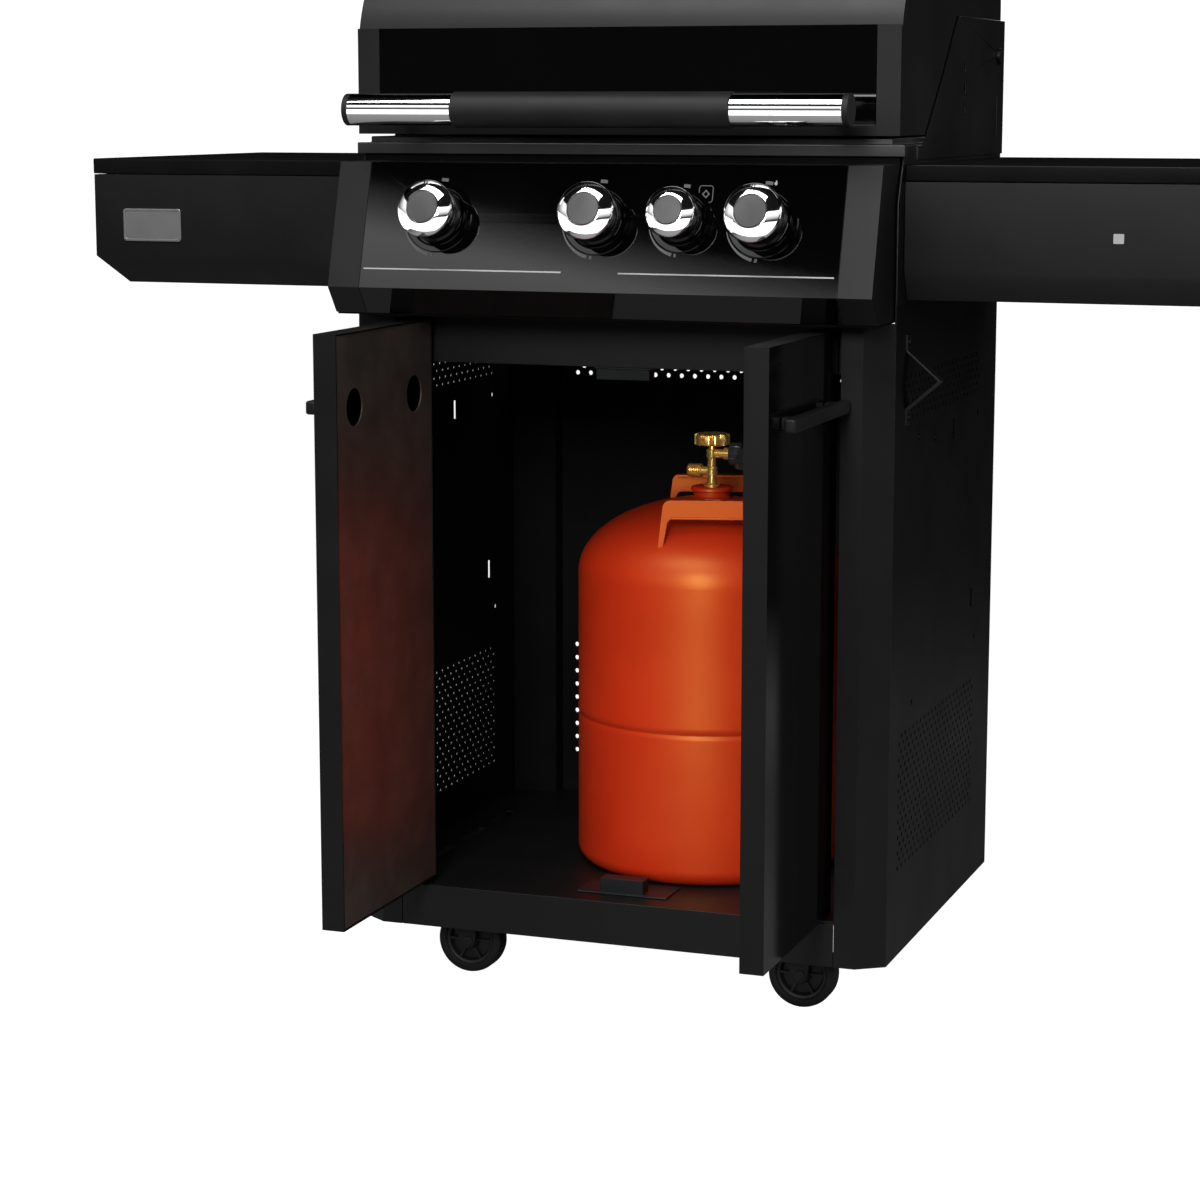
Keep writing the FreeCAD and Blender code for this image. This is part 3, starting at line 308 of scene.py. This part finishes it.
def slab_mesh(low, high, place):
    """Vertices and faces of a block between two corners."""
    corners = [place @ (Vector((x, y, z)) * MM) for x in (low[0], high[0])
               for y in (low[1], high[1]) for z in (low[2], high[2])]
    faces = [(0, 1, 3, 2), (4, 6, 7, 5), (0, 4, 5, 1), (2, 3, 7, 6), (0, 2, 6, 4), (1, 5, 7, 3)]
    return corners, faces


def joined(*meshes):
    """One list of vertices and faces from several."""
    vertices = []
    faces = []
    for some_vertices, some_faces in meshes:
        start = len(vertices)
        vertices += some_vertices
        faces += [tuple(start + corner for corner in face) for face in some_faces]
    return vertices, faces


def rounded_outline(width, height, radius, steps=6):
    """A rounded rectangle's corner points about its centre, anticlockwise."""
    points = []
    for number, (sx, sy) in enumerate(((1, 1), (-1, 1), (-1, -1), (1, -1))):
        for step in range(steps + 1):
            turn = math.pi / 2 * (number + step / steps)
            points.append((sx * (width / 2 - radius) + radius * math.cos(turn),
                           sy * (height / 2 - radius) + radius * math.sin(turn)))
    return points


def plate_mesh(outline, low, high, place):
    """An outline of (x, y) pairs made solid between two heights of the placement."""
    count = len(outline)
    vertices = [place @ (Vector((x, y, z)) * MM) for z in (low, high) for x, y in outline]
    faces = [tuple(reversed(range(count))), tuple(range(count, 2 * count))]
    for corner in range(count):
        after = (corner + 1) % count
        faces.append((corner, after, count + after, count + corner))
    return vertices, faces


def frame_mesh(outer, inner, low, high, place):
    """A flat frame between two outlines with the same number of points."""
    count = len(outer)
    vertices = [place @ (Vector((x, y, z)) * MM) for line in (outer, inner) for z in (low, high)
                for x, y in line]
    outer_low, outer_high, inner_low, inner_high = (loop * count for loop in range(4))
    walls = ((outer_low, outer_high), (inner_high, inner_low), (outer_high, inner_high),
             (inner_low, outer_low))
    faces = []
    for corner in range(count):
        after = (corner + 1) % count
        for start, end in walls:
            faces.append((start + corner, start + after, end + after, end + corner))
    return vertices, faces


def arc_mesh(start, end, inner, outer, low, high, place, steps=24):
    """A flat arc band between two angles in degrees; inner and outer are radii at start and end."""
    vertices = []
    for step in range(steps + 1):
        share = step / steps
        turn = math.radians(start + (end - start) * share)
        near = inner[0] + (inner[1] - inner[0]) * share
        far = outer[0] + (outer[1] - outer[0]) * share
        for radius, height in ((near, low), (far, low), (far, high), (near, high)):
            point = Vector((radius * math.cos(turn), radius * math.sin(turn), height))
            vertices.append(place @ (point * MM))
    faces = [(0, 1, 2, 3), tuple(4 * steps + corner for corner in (3, 2, 1, 0))]
    for step in range(steps):
        near, far = 4 * step, 4 * step + 4
        for corner in range(4):
            after = (corner + 1) % 4
            faces.append((near + corner, far + corner, far + after, near + after))
    return vertices, faces


# ------------------------------------------------------------------------------------- CAD nodes
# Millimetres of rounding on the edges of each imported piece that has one.
ROUNDED = {"cabinet_floor_tray": 0.8, "front_right_post": 0.7, "front_left_post": 0.7,
           "door_header_beam": 0.8, "right_door_shell": 1.2, "left_door_shell": 1.2,
           "right_door_handle": 2.2, "left_door_handle": 2.2, "control_panel_face": 0.3,
           "panel_end_caps": 0.4, "firebox_rim": 1.0, "rear_housing": 0.6, "hood_shell": 0.7,
           "hood_front_panel": 0.4, "right_shelf_top": 1.6, "left_shelf_top": 1.6,
           "right_shelf_skirt": 0.9, "left_shelf_skirt": 0.9, "bottle_opener": 0.6,
           "door_catches": 1.2, "cooking_grates": 1.6, "firebox": 0.8, "hood_handle_tube": 0.3,
           "hood_handle_grip": 0.5, "warming_rack": 0.8, "flame_tamers": 0.5, "burners": 0.5,
           "control_panel_frame": 0.5, "shelf_supports": 0.6, "caster_plates": 0.6,
           "grease_tray": 0.4, "grease_cup": 0.3}
# Imported pieces whose finish differs from the one that their material slot names. The rim's lighter,
# glossier copy of the black powder coat is painted light on its protruding front.
NODE_FINISH = {"right_side_panel": "black_side", "left_side_panel": "black_side",
               "back_panel": "black_side", "right_shelf_top": "black_top",
               "left_shelf_top": "black_top", "panel_screws": "black_side",
               "control_panel_frame": "black_top", "right_door_shell": "black_door",
               "left_door_shell": "black_door", "firebox_rim": "black_rim_painted_lit"}


def dress_cad_nodes():
    """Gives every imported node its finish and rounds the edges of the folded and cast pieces."""
    slots = {row["node"]: row["material_slot"] for row in frame["record"]["subparts"]}
    for name, piece in NODES.items():
        piece.data.materials.clear()
        piece.data.materials.append(FINISH[NODE_FINISH.get(name, slots[name])])
        if name in ROUNDED:
            joint = piece.modifiers.new("weld", "WELD")
            joint.merge_threshold = 0.00001
            soften(piece, ROUNDED[name])


dress_cad_nodes()


# --------------------------------------------------------------------------------- control panel
OUT = -Vector(JOINTS["knob_centre_push"]["axis"]).normalized()
UPSLOPE = Vector((0, OUT.z, -OUT.y))
PANEL_CENTRE = Vector(JOINTS["knob_centre_turn"]["pos_m"])
KNOB_DROP = 59


def on_panel(x, drop):
    """A point of the sloping panel: x across, and drop down the slope from its top edge."""
    return Vector((x * MM, PANEL_CENTRE.y, PANEL_CENTRE.z)) + UPSLOPE * (KNOB_DROP - drop) * MM


def knob(name):
    """Bezel, ribbed body, chromed ring with a pointer, and the turned cap of one knob."""
    place = along(JOINTS["knob_%s_turn" % name]["pos_m"], OUT)
    body = "knob_" + name
    small = name == "small"
    radius = 26.5 if small else 30.5
    waist = radius - 5.5
    cap = 14.3 if small else 16.6
    body_outline = [(4.2, 6), (waist + 3.2, 6), (waist + 3.6, 7),
                    (waist + 3.4, 11), (waist + 1.5, 13)]
    for rib in range(3):
        base = 13.6 + 5.0 * rib
        body_outline += [(waist - 1.4, base), (waist - 1.4, base + 1.3),
                         (waist + 0.4, base + 1.9), (waist + 0.6, base + 4.2)]
    body_outline += [(waist + 0.2, 29), (radius - 2.6, 35),
                     (radius - 1.0, 36.6), (4.2, 36.6)]
    lathe("knob_%s_body" % name, body_outline, place, "knob_finish", body,
          replaces=("knob_" + name,))
    ring_outline = [(radius - 1.2, 36.4), (radius - 0.2, 37.0),
                    (radius, 38.4), (radius - 0.5, 40.0),
                    (radius - 2.0, 41.4), (cap + 2.2, 46.6),
                    (cap + 1.0, 46.8), (cap + 0.5, 46.2),
                    (cap + 0.4, 43.5), (0, 43.5)]
    lathe("knob_%s_ring" % name, ring_outline, place, "chrome", body, slot="knob_finish", steps=96)
    cap_outline = [(cap, 43.6), (cap, 46.2), (cap - 0.5, 46.7),
                   (cap * 0.5, 46.9), (0, 47.0)]
    lathe("knob_%s_cap" % name, cap_outline, place, "knob_cap", body, slot="knob_finish")
    spoke = []
    for side in (-1, 1):
        tilt = math.atan2(5.2, radius - 2.0 - cap - 2.2)
        centre = place @ moved(side * 1.4, (radius + cap) / 2, 44.15)
        turn = centre @ Matrix.Rotation(-tilt, 4, "X")
        reach = (radius - cap) / 2 * 0.82
        spoke.append(slab_mesh((-0.45, -reach, -0.4), (0.45, reach, 0.45), turn))
    make("knob_%s_pointer" % name, *joined(*spoke), "knob_finish", body)

    bezel_outline = [(5.5, 0.02), (radius + 7.0, 0.02),
                     (radius + 7.0, 0.7), (radius + 6.0, 1.5),
                     (radius + 1.2, 1.6), (radius + 0.6, 4.4),
                     (radius - 0.2, 5.2), (radius - 0.9, 4.6),
                     (radius - 1.1, 1.9), (5.5, 1.9)]
    lathe("bezel_%s" % name, bezel_outline, place, "gloss_black", "cabinet", steps=96)
    near, far = radius + 8.0, radius + 11.5
    mark = arc_mesh(196, 258, (near, near), (near + 0.8, far), 0.05, 0.25, place)
    tick = arc_mesh(80, 91, (near, near), (far, far), 0.05, 0.25, place, 4)
    rest = arc_mesh(262, 266, (near, near), (far, far), 0.05, 0.25, place, 4)
    make("scale_" + name, *joined(mark, tick, rest), "print_dim", "cabinet")


def panel_prints():
    """The thin raised line across the panel, and the plain marks by the knobs."""
    level = 115
    lines = []
    for left, right in ((-257, -35), (27.5, 256)):
        place = along(on_panel((left + right) / 2, level), OUT)
        half = (right - left) / 2
        lines.append(slab_mesh((-half, -0.75, 0.02), (half, 0.75, 0.45), place))
    make("panel_line", *joined(*lines), "print", "cabinet", bevel=0.1)

    place = along(on_panel(114, 31), OUT)
    outer = rounded_outline(15.5, 18, 3.2)
    inner = rounded_outline(13.9, 16.4, 2.4)
    diamond = [(4.2, 0), (0, 4.6), (-4.2, 0), (0, -4.6)]
    hollow = [(x * 0.6, y * 0.6) for x, y in diamond]
    mark = joined(frame_mesh(outer, inner, 0.03, 0.25, place),
                  frame_mesh(diamond, hollow, 0.03, 0.25, place))
    make("burner_mark", *mark, "print_dim", "cabinet")

    place = along(on_panel(187, 19), OUT)
    drop = [(0, -2.6), (1.7, -1.2), (1.5, 0.8), (0.2, 3.4),
            (-0.6, 1.0), (-1.6, 0.2), (-1.5, -1.4)]
    make("flame_mark", *plate_mesh(drop, 0.03, 0.25, place), "print", "cabinet")


for knob_name in ("left", "centre", "small", "right"):
    knob(knob_name)
panel_prints()


# ----------------------------------------------------------------------------------- side shelves
def shelf_badges():
    """A blank brushed plate on the left fascia and a small square mark on the right one."""
    low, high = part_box("left_shelf_skirt")
    height = low.z + 0.537 * (high.z - low.z)
    place = along((low.x + 73 * MM, low.y, height), (0, -1, 0))
    outline = rounded_outline(72, 36, 3.5)
    inside = rounded_outline(67, 31, 2.4)
    rim = frame_mesh(outline, inside, -0.2, 2.0, place)
    field = plate_mesh(inside, -0.2, 1.3, place)
    make("shelf_badge", *joined(rim, field), "badge", "cabinet", bevel=0.3)
    low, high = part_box("right_shelf_skirt")
    height = low.z + 0.55 * (high.z - low.z)
    place = along((high.x - 117 * MM, low.y, height), (0, -1, 0))
    square = rounded_outline(10.6, 9.8, 0.8)
    make("square_mark", *plate_mesh(square, -0.2, 0.9, place), "print", "cabinet")


shelf_badges()


# ----------------------------------------------------------------------------------- gas cylinder
NECK_COLLAR = 13


def gas_cylinder():
    """The enamelled steel body with its seam and turned neck; returns its place and its dome's top."""
    wheel = JOINTS["handwheel_turn"]["pos_m"]
    foot_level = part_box("gas_cylinder")[0].z
    place = Matrix.Translation((wheel[0], wheel[1], foot_level))
    radius, bend, seam, straight, dome, neck = 150, 18, 172, 332, 83, 21.5
    outline = [(0, 6), (radius - 40, 3), (radius - 22, 0)]
    for step in range(9):
        turn = math.pi / 2 * step / 8
        outline.append((radius - bend + bend * math.sin(turn), bend - bend * math.cos(turn)))
    outline += [(radius, seam - 7), (radius - 0.2, seam - 4),
                (radius - 1.4, seam - 1.5), (radius - 1.4, seam - 0.5),
                (radius + 0.3, seam + 1.2), (radius + 0.4, seam + 7),
                (radius, seam + 11), (radius, straight - 40)]
    for step in range(30):
        turn = math.acos(neck / radius) * step / 29
        outline.append((radius * math.cos(turn), straight + dome * math.sin(turn)))
    top = outline[-1][1]
    outline += [(neck + 0.5, top + 1.0), (neck - 1.0, top + 2.2),
                (neck - 1.0, top + 7.5), (neck + 1.6, top + 8.3),
                (neck + 2.0, top + 11.0), (neck + 0.8, top + 12.6),
                (neck - 3.0, top + NECK_COLLAR), (0, top + NECK_COLLAR)]
    lathe("cylinder_body", outline, place, "orange_paint", "cabinet", steps=128,
          replaces=("gas_cylinder",), sharp=50)
    return place, top


def strap(name, centre, side):
    """A pressed strap: an upright band on two splayed legs, flanged on top and rolled below."""
    turn = math.radians(16)
    facing = Vector((math.sin(turn), -math.cos(turn), 0)) * side
    middle = (centre @ moved(0, 0, 426)).translation
    place = along(middle + facing * 118 * MM, facing)
    half, bend, leg, band, foot, splay = 50, 9, 6, 21, 60, 6
    sheet = 3.2
    outer = [(-half - splay, -foot)]
    for step in range(7):
        angle = math.pi - math.pi / 2 * step / 6
        outer.append((-half + bend + bend * math.cos(angle), -bend + bend * math.sin(angle)))
    outer += [(-x, y) for x, y in reversed(outer)]
    inner = [(half + splay - leg, -foot), (half - leg, -band - sheet), (half - leg - sheet, -band)]
    inner += [(-x, y) for x, y in reversed(inner)]
    outline = list(reversed(outer + inner))
    flange = slab_mesh((-half + bend * 0.7, -sheet, -12), (half - bend * 0.7, -0.1, -0.5),
                       place)
    roll = slab_mesh((-half + leg + sheet, -band, -0.5),
                     (half - leg - sheet, -band + 2.6, 1.7), place)
    make(name, *joined(plate_mesh(outline, -sheet, 0, place), flange, roll), "orange_paint", "cabinet",
         bevel=0.7, segments=3)


def cylinder_valve(place, top):
    """Brass valve with threaded branches, a lobed handwheel and a dark regulator."""
    neck = top + NECK_COLLAR
    stem = [(0, neck - 2), (9.0, neck - 1), (9.0, neck + 2),
            (5.6, neck + 3.5), (5.2, neck + 12), (6.6, neck + 13),
            (6.6, neck + 21), (4.9, neck + 22.5), (4.7, neck + 32),
            (6.4, neck + 33.5), (6.4, neck + 41), (5.0, neck + 42),
            (4.4, neck + 47.5), (0, neck + 47.6)]
    meshes = [lathe_mesh(stem, place, 40)]
    left = place @ moved(0, 0, neck + 17) @ Matrix.Rotation(-math.pi / 2, 4, "Y")
    branch = [(5.0, 2), (5.0, 11), (7.6, 12)]
    for thread in range(6):
        base = (12.5 + 2.4 * thread)
        branch += [(6.8, base), (7.9, base + 1.2)]
    branch += [(7.0, 27.5), (4.4, 28), (4.2, 22), (0, 22)]
    meshes.append(lathe_mesh(branch, left, 32))
    right = place @ moved(0, 0, neck + 37) @ Matrix.Rotation(math.pi / 2, 4, "Y")
    meshes.append(lathe_mesh([(5.2, 2), (5.2, 14), (7.0, 15),
                              (7.0, 22), (0, 22)], right, 32))
    make("valve_body", *joined(*meshes), "brass", "cabinet", replaces=("cylinder_valve",), sharp=28)

    grip = place @ moved(0, 0, 473.5)
    wheel = [(5, 5.0), (14, 5.0), (16, 0.6), (19, 0.4),
             (20, 1.4), (20, 11.4), (19, 12.9), (14, 13.2),
             (9, 12.0), (5, 12.3), (0, 12.5)]

    def lobes(turn):
        return 1 - 0.2 * max(0.0, math.cos(10 * turn)) ** 2

    lathe("handwheel", wheel, grip, "brass", "handwheel", steps=128, wobble=lobes,
          replaces=("valve_handwheel",), sharp=40)

    low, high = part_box("gas_regulator")
    ribbed = [(6, 22.3), (12.5, 22.6), (13, 24), (13, 33),
              (11, 36), (0, 36)]
    body = Matrix.Translation((place.translation.x + 50 * MM, place.translation.y, low.z))
    tall = (high.z - low.z) / MM
    can = [(0, 0), (19, 0), (22, 2), (22, 8), (24, 9),
           (24, 14), (21, 16), (16, tall - 6),
           (12, tall - 5), (11, tall - 1), (0, tall)]

    def knurl(turn):
        return 1 - 0.04 * max(0.0, math.cos(24 * turn))

    make("regulator", *joined(lathe_mesh(ribbed, right, 96, knurl), lathe_mesh(can, body, 48)),
         "regulator_grey", "cabinet", replaces=("gas_regulator",), sharp=30)


bottle_place, bottle_top = gas_cylinder()
strap("front_strap", bottle_place, 1)
strap("rear_strap", bottle_place, -1)
cylinder_valve(bottle_place, bottle_top)


# ---------------------------------------------------------------------------------------- casters
def caster(name):
    """A caster's tyre, webbed hub and pressed fork."""
    axle = Vector(JOINTS["caster_%s_roll" % name]["pos_m"])
    pivot = Vector(JOINTS["caster_%s_swivel" % name]["pos_m"])
    wheel = "caster_wheel_" + name
    fork = "caster_fork_" + name
    place = along(axle, (0, -1, 0))
    half = 12
    tyre = [(27.5, -half + 1.5), (29, -half), (34, -half),
            (36.4, -half + 1.6), (37, -half + 4.4), (37, half - 4.4),
            (36.4, half - 1.6), (34, half), (29, half),
            (27.5, half - 1.5), (27.3, 0), (27.5, -half + 1.5)]
    lathe(wheel + "_tyre", tyre, place, "wheel_rubber", wheel, steps=96, replaces=(wheel,))
    hub = [(4.2, -half + 1), (9, -half + 1), (10, -half + 2.5),
           (10.5, -half + 7), (22, -half + 8), (24.4, -half + 3),
           (27.2, -half + 2.2), (27.2, half - 2.2),
           (24.4, half - 3), (22, half - 8), (10.5, half - 7),
           (10, half - 2.5), (9, half - 1), (4.2, half - 1),
           (4.2, -half + 1)]
    spokes = []
    for number in range(6):
        turn = place @ Matrix.Rotation(math.pi / 3 * number, 4, "Z")
        for side in (-1, 1):
            edges = sorted((side * 3.5, side * 8.4))
            spokes.append(slab_mesh((9.5, -1.3, edges[0]), (25, 1.3, edges[1]), turn))
    make(wheel + "_hub", *joined(lathe_mesh(hub, place, 64), *spokes), "caster_steel", wheel,
         slot="caster_steel")

    ground = Matrix.Translation((axle.x, axle.y, 0))
    column = Matrix.Translation((pivot.x, pivot.y, 0))
    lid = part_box(fork)[1].z / MM
    gap = half + 1.6
    sheet = 3
    roof = 78
    cheeks = []
    for side in (-1, 1):
        outline = [(-8.5, 0), (-6.0, -6.0), (0, -8.5), (6.0, -6.0), (8.5, 0), (13.5, 40), (-27, 40),
                   (-27, 30)]
        levels = sorted((side * gap, side * (gap + sheet)))
        cheeks.append(plate_mesh(outline, *levels, place))
    crown = slab_mesh((-27, -gap - sheet, roof - 1), (13.5, gap + sheet, roof + 3), ground)
    race = lathe_mesh([(0, roof), (22, roof), (23, roof + 4), (23, lid - 3), (21.5, lid), (0, lid)],
                      column, 64)
    nut = lathe_mesh([(0, gap + 2.9), (6.5, gap + 2.9), (6.5, gap + 4.6),
                      (0, gap + 4.8)], place, 6)
    tail = lathe_mesh([(0, -gap - 4.8), (6.5, -gap - 4.6),
                       (6.5, -gap - 2.9), (0, -gap - 2.9)], place, 6)
    pin = lathe_mesh([(0, -gap - 1), (3.9, -gap - 1), (3.9, gap + 1),
                      (0, gap + 1)], place, 24)
    make(fork + "_fork", *joined(*cheeks, crown, race, nut, tail, pin), "caster_steel", fork,
         replaces=(fork,), bevel=0.7)


for corner_name in ("front_left", "front_right", "rear_left", "rear_right"):
    caster(corner_name)


# ------------------------------------------------------------------------------------------ stage
def pale_floor():
    """A floor that is white to the eye, and grey and fading outwards to the light on the object."""
    vertices = [(-9, -9, 0), (9, -9, 0), (9, 9, 0), (-9, 9, 0)]
    mesh = bpy.data.meshes.new("floor")
    mesh.from_pydata(vertices, [], [(0, 1, 2, 3)])
    floor = bpy.data.objects.new("floor", mesh)
    bpy.context.scene.collection.objects.link(floor)
    material = bpy.data.materials.new("pale_floor")
    material.use_nodes = True
    shader = material.node_tree.nodes["Principled BSDF"]
    shader.inputs["Roughness"].default_value = 0.9
    shader.inputs["Specular IOR Level"].default_value = 0.0
    shader.inputs["Emission Color"].default_value = (1, 1, 1, 1)
    tree = material.node_tree
    where = tree.nodes.new("ShaderNodeTexCoord")
    reach = tree.nodes.new("ShaderNodeVectorMath")
    reach.operation = "LENGTH"
    tree.links.new(where.outputs["Object"], reach.inputs[0])
    fade = mapped(tree, reach.outputs["Value"], (1.6, 2.6), (0.32, 0.02))
    tree.links.new(fade, shader.inputs["Base Color"])
    path = tree.nodes.new("ShaderNodeLightPath")
    tree.links.new(path.outputs["Is Camera Ray"], shader.inputs["Emission Strength"])
    mesh.materials.append(material)


def viewpoint():
    """The camera, which stands to the right of the open doors and a little above the shelves."""
    camera = bpy.data.cameras.new("camera")
    camera.lens = 88.64
    camera.sensor_width = 36
    holder = bpy.data.objects.new("camera", camera)
    holder.location = (1.0510, -3.0434, 0.9621)
    holder.rotation_euler = (math.radians(80.40), 0, math.radians(20.09))
    bpy.context.scene.collection.objects.link(holder)
    bpy.context.scene.camera = holder


def soft_light(name, place, target, size, power, colour=(1, 1, 1), only=()):
    """An area light; only names the pieces that it lights, or all when it is empty."""
    light = bpy.data.lights.new(name, "AREA")
    light.shape = "RECTANGLE"
    light.size = size[0]
    light.size_y = size[1]
    light.energy = power
    light.color = colour
    holder = bpy.data.objects.new(name, light)
    holder.location = place
    holder.rotation_euler = (Vector(target) - Vector(place)).to_track_quat("-Z", "Y").to_euler()
    bpy.context.scene.collection.objects.link(holder)
    if only:
        lit = bpy.data.collections.new(name + "_lit")
        for piece in only:
            lit.objects.link(piece)
        holder.light_linking.receiver_collection = lit


def room_light():
    """A white backdrop to the eye, and to the object a dim room with a pale band in front."""
    world = bpy.data.worlds.new("studio")
    bpy.context.scene.world = world
    world.use_nodes = True
    tree = world.node_tree
    tree.nodes.clear()
    where = tree.nodes.new("ShaderNodeTexCoord")
    parts = tree.nodes.new("ShaderNodeSeparateXYZ")
    tree.links.new(where.outputs["Generated"], parts.inputs["Vector"])
    ramp = tree.nodes.new("ShaderNodeValToRGB")
    stops = ((0.0, 0.3), (0.49, 0.02), (0.56, 0.02), (0.63, 0.5), (0.716, 0.76), (0.7225, 1.0),
             (0.728, 0.19), (0.7305, 0.004), (1.0, 0.004))
    points = ramp.color_ramp.elements
    while len(points) < len(stops):
        points.new(0.5)
    for point, (position, value) in zip(points, stops):
        point.position = position
        point.color = (value, value, value, 1)
    tree.links.new(calculated(tree, "MULTIPLY_ADD", parts.outputs["Z"], 0.5, 0.5), ramp.inputs["Fac"])
    front = mapped(tree, parts.outputs["Y"], (0.2, -0.3), (0.05, 2.0))
    room = tree.nodes.new("ShaderNodeBackground")
    tree.links.new(ramp.outputs["Color"], room.inputs["Color"])
    tree.links.new(front, room.inputs["Strength"])
    backdrop = tree.nodes.new("ShaderNodeBackground")
    backdrop.inputs["Color"].default_value = (1, 1, 1, 1)
    backdrop.inputs["Strength"].default_value = 1.1
    path = tree.nodes.new("ShaderNodeLightPath")
    choice = tree.nodes.new("ShaderNodeMixShader")
    tree.links.new(path.outputs["Is Camera Ray"], choice.inputs["Fac"])
    tree.links.new(room.outputs["Background"], choice.inputs[1])
    tree.links.new(backdrop.outputs["Background"], choice.inputs[2])
    output = tree.nodes.new("ShaderNodeOutputWorld")
    tree.links.new(choice.outputs["Shader"], output.inputs["Surface"])


def lamps():
    """Soft lights round the object; some of them light only the pieces that need them."""
    soft_light("overhead", (-0.3, -1.5, 3.0), (0, -0.8, 0), (2.0, 1.2), 58)
    soft_light("fill", (0.45, -3.4, 1.9), (0, 0, 0.3), (0.7, 1.0), 45)
    soft_light("right", (3.2, 0.9, 1.3), (0.3, 0, 0.5), (1.2, 1.6), 30)
    behind = [NODES[name] for name in ("back_panel", "rear_housing", "hood_shell", "grease_tray")]
    soft_light("rear", (-0.6, 3.0, 1.9), (0, 0, 0.6), (1.8, 1.4), 90, only=behind)
    outer_left = [NODES[name] for name in ("left_side_panel", "left_shelf_skirt")]
    soft_light("left", (-3.2, 0.9, 1.3), (-0.3, 0, 0.5), (1.2, 1.6), 30, only=outer_left)
    pieces = bpy.data.objects
    bottle = [pieces[name] for name in ("cylinder_body", "front_strap", "rear_strap")]
    soft_light("bottle_strip", (0.34, -2.2, 0.62), (0.04, 0.1, 0.35), (0.7, 0.4), 16,
               (1.0, 0.82, 0.5), only=bottle)
    soft_light("brass_card", (0.7, -1.6, 0.9), (0.04, 0.1, 0.5), (0.7, 0.7), 20,
               only=[pieces["valve_body"], pieces["handwheel"]])
    chromed = [pieces["knob_%s_ring" % name] for name in ("left", "centre", "small", "right")]
    chromed.append(NODES["hood_handle_tube"])
    soft_light("low_card", (-0.3, -1.55, 0.48), (-0.3, 0, 0.48), (5.0, 0.92), 24, only=chromed)
    soft_light("left_card", (-1.9, -0.6, 0.6), (0, -0.6, 0.6), (2.4, 1.1), 14, only=chromed)


pale_floor()
viewpoint()
room_light()
lamps()
bpy.context.scene.view_settings.view_transform = "Standard"
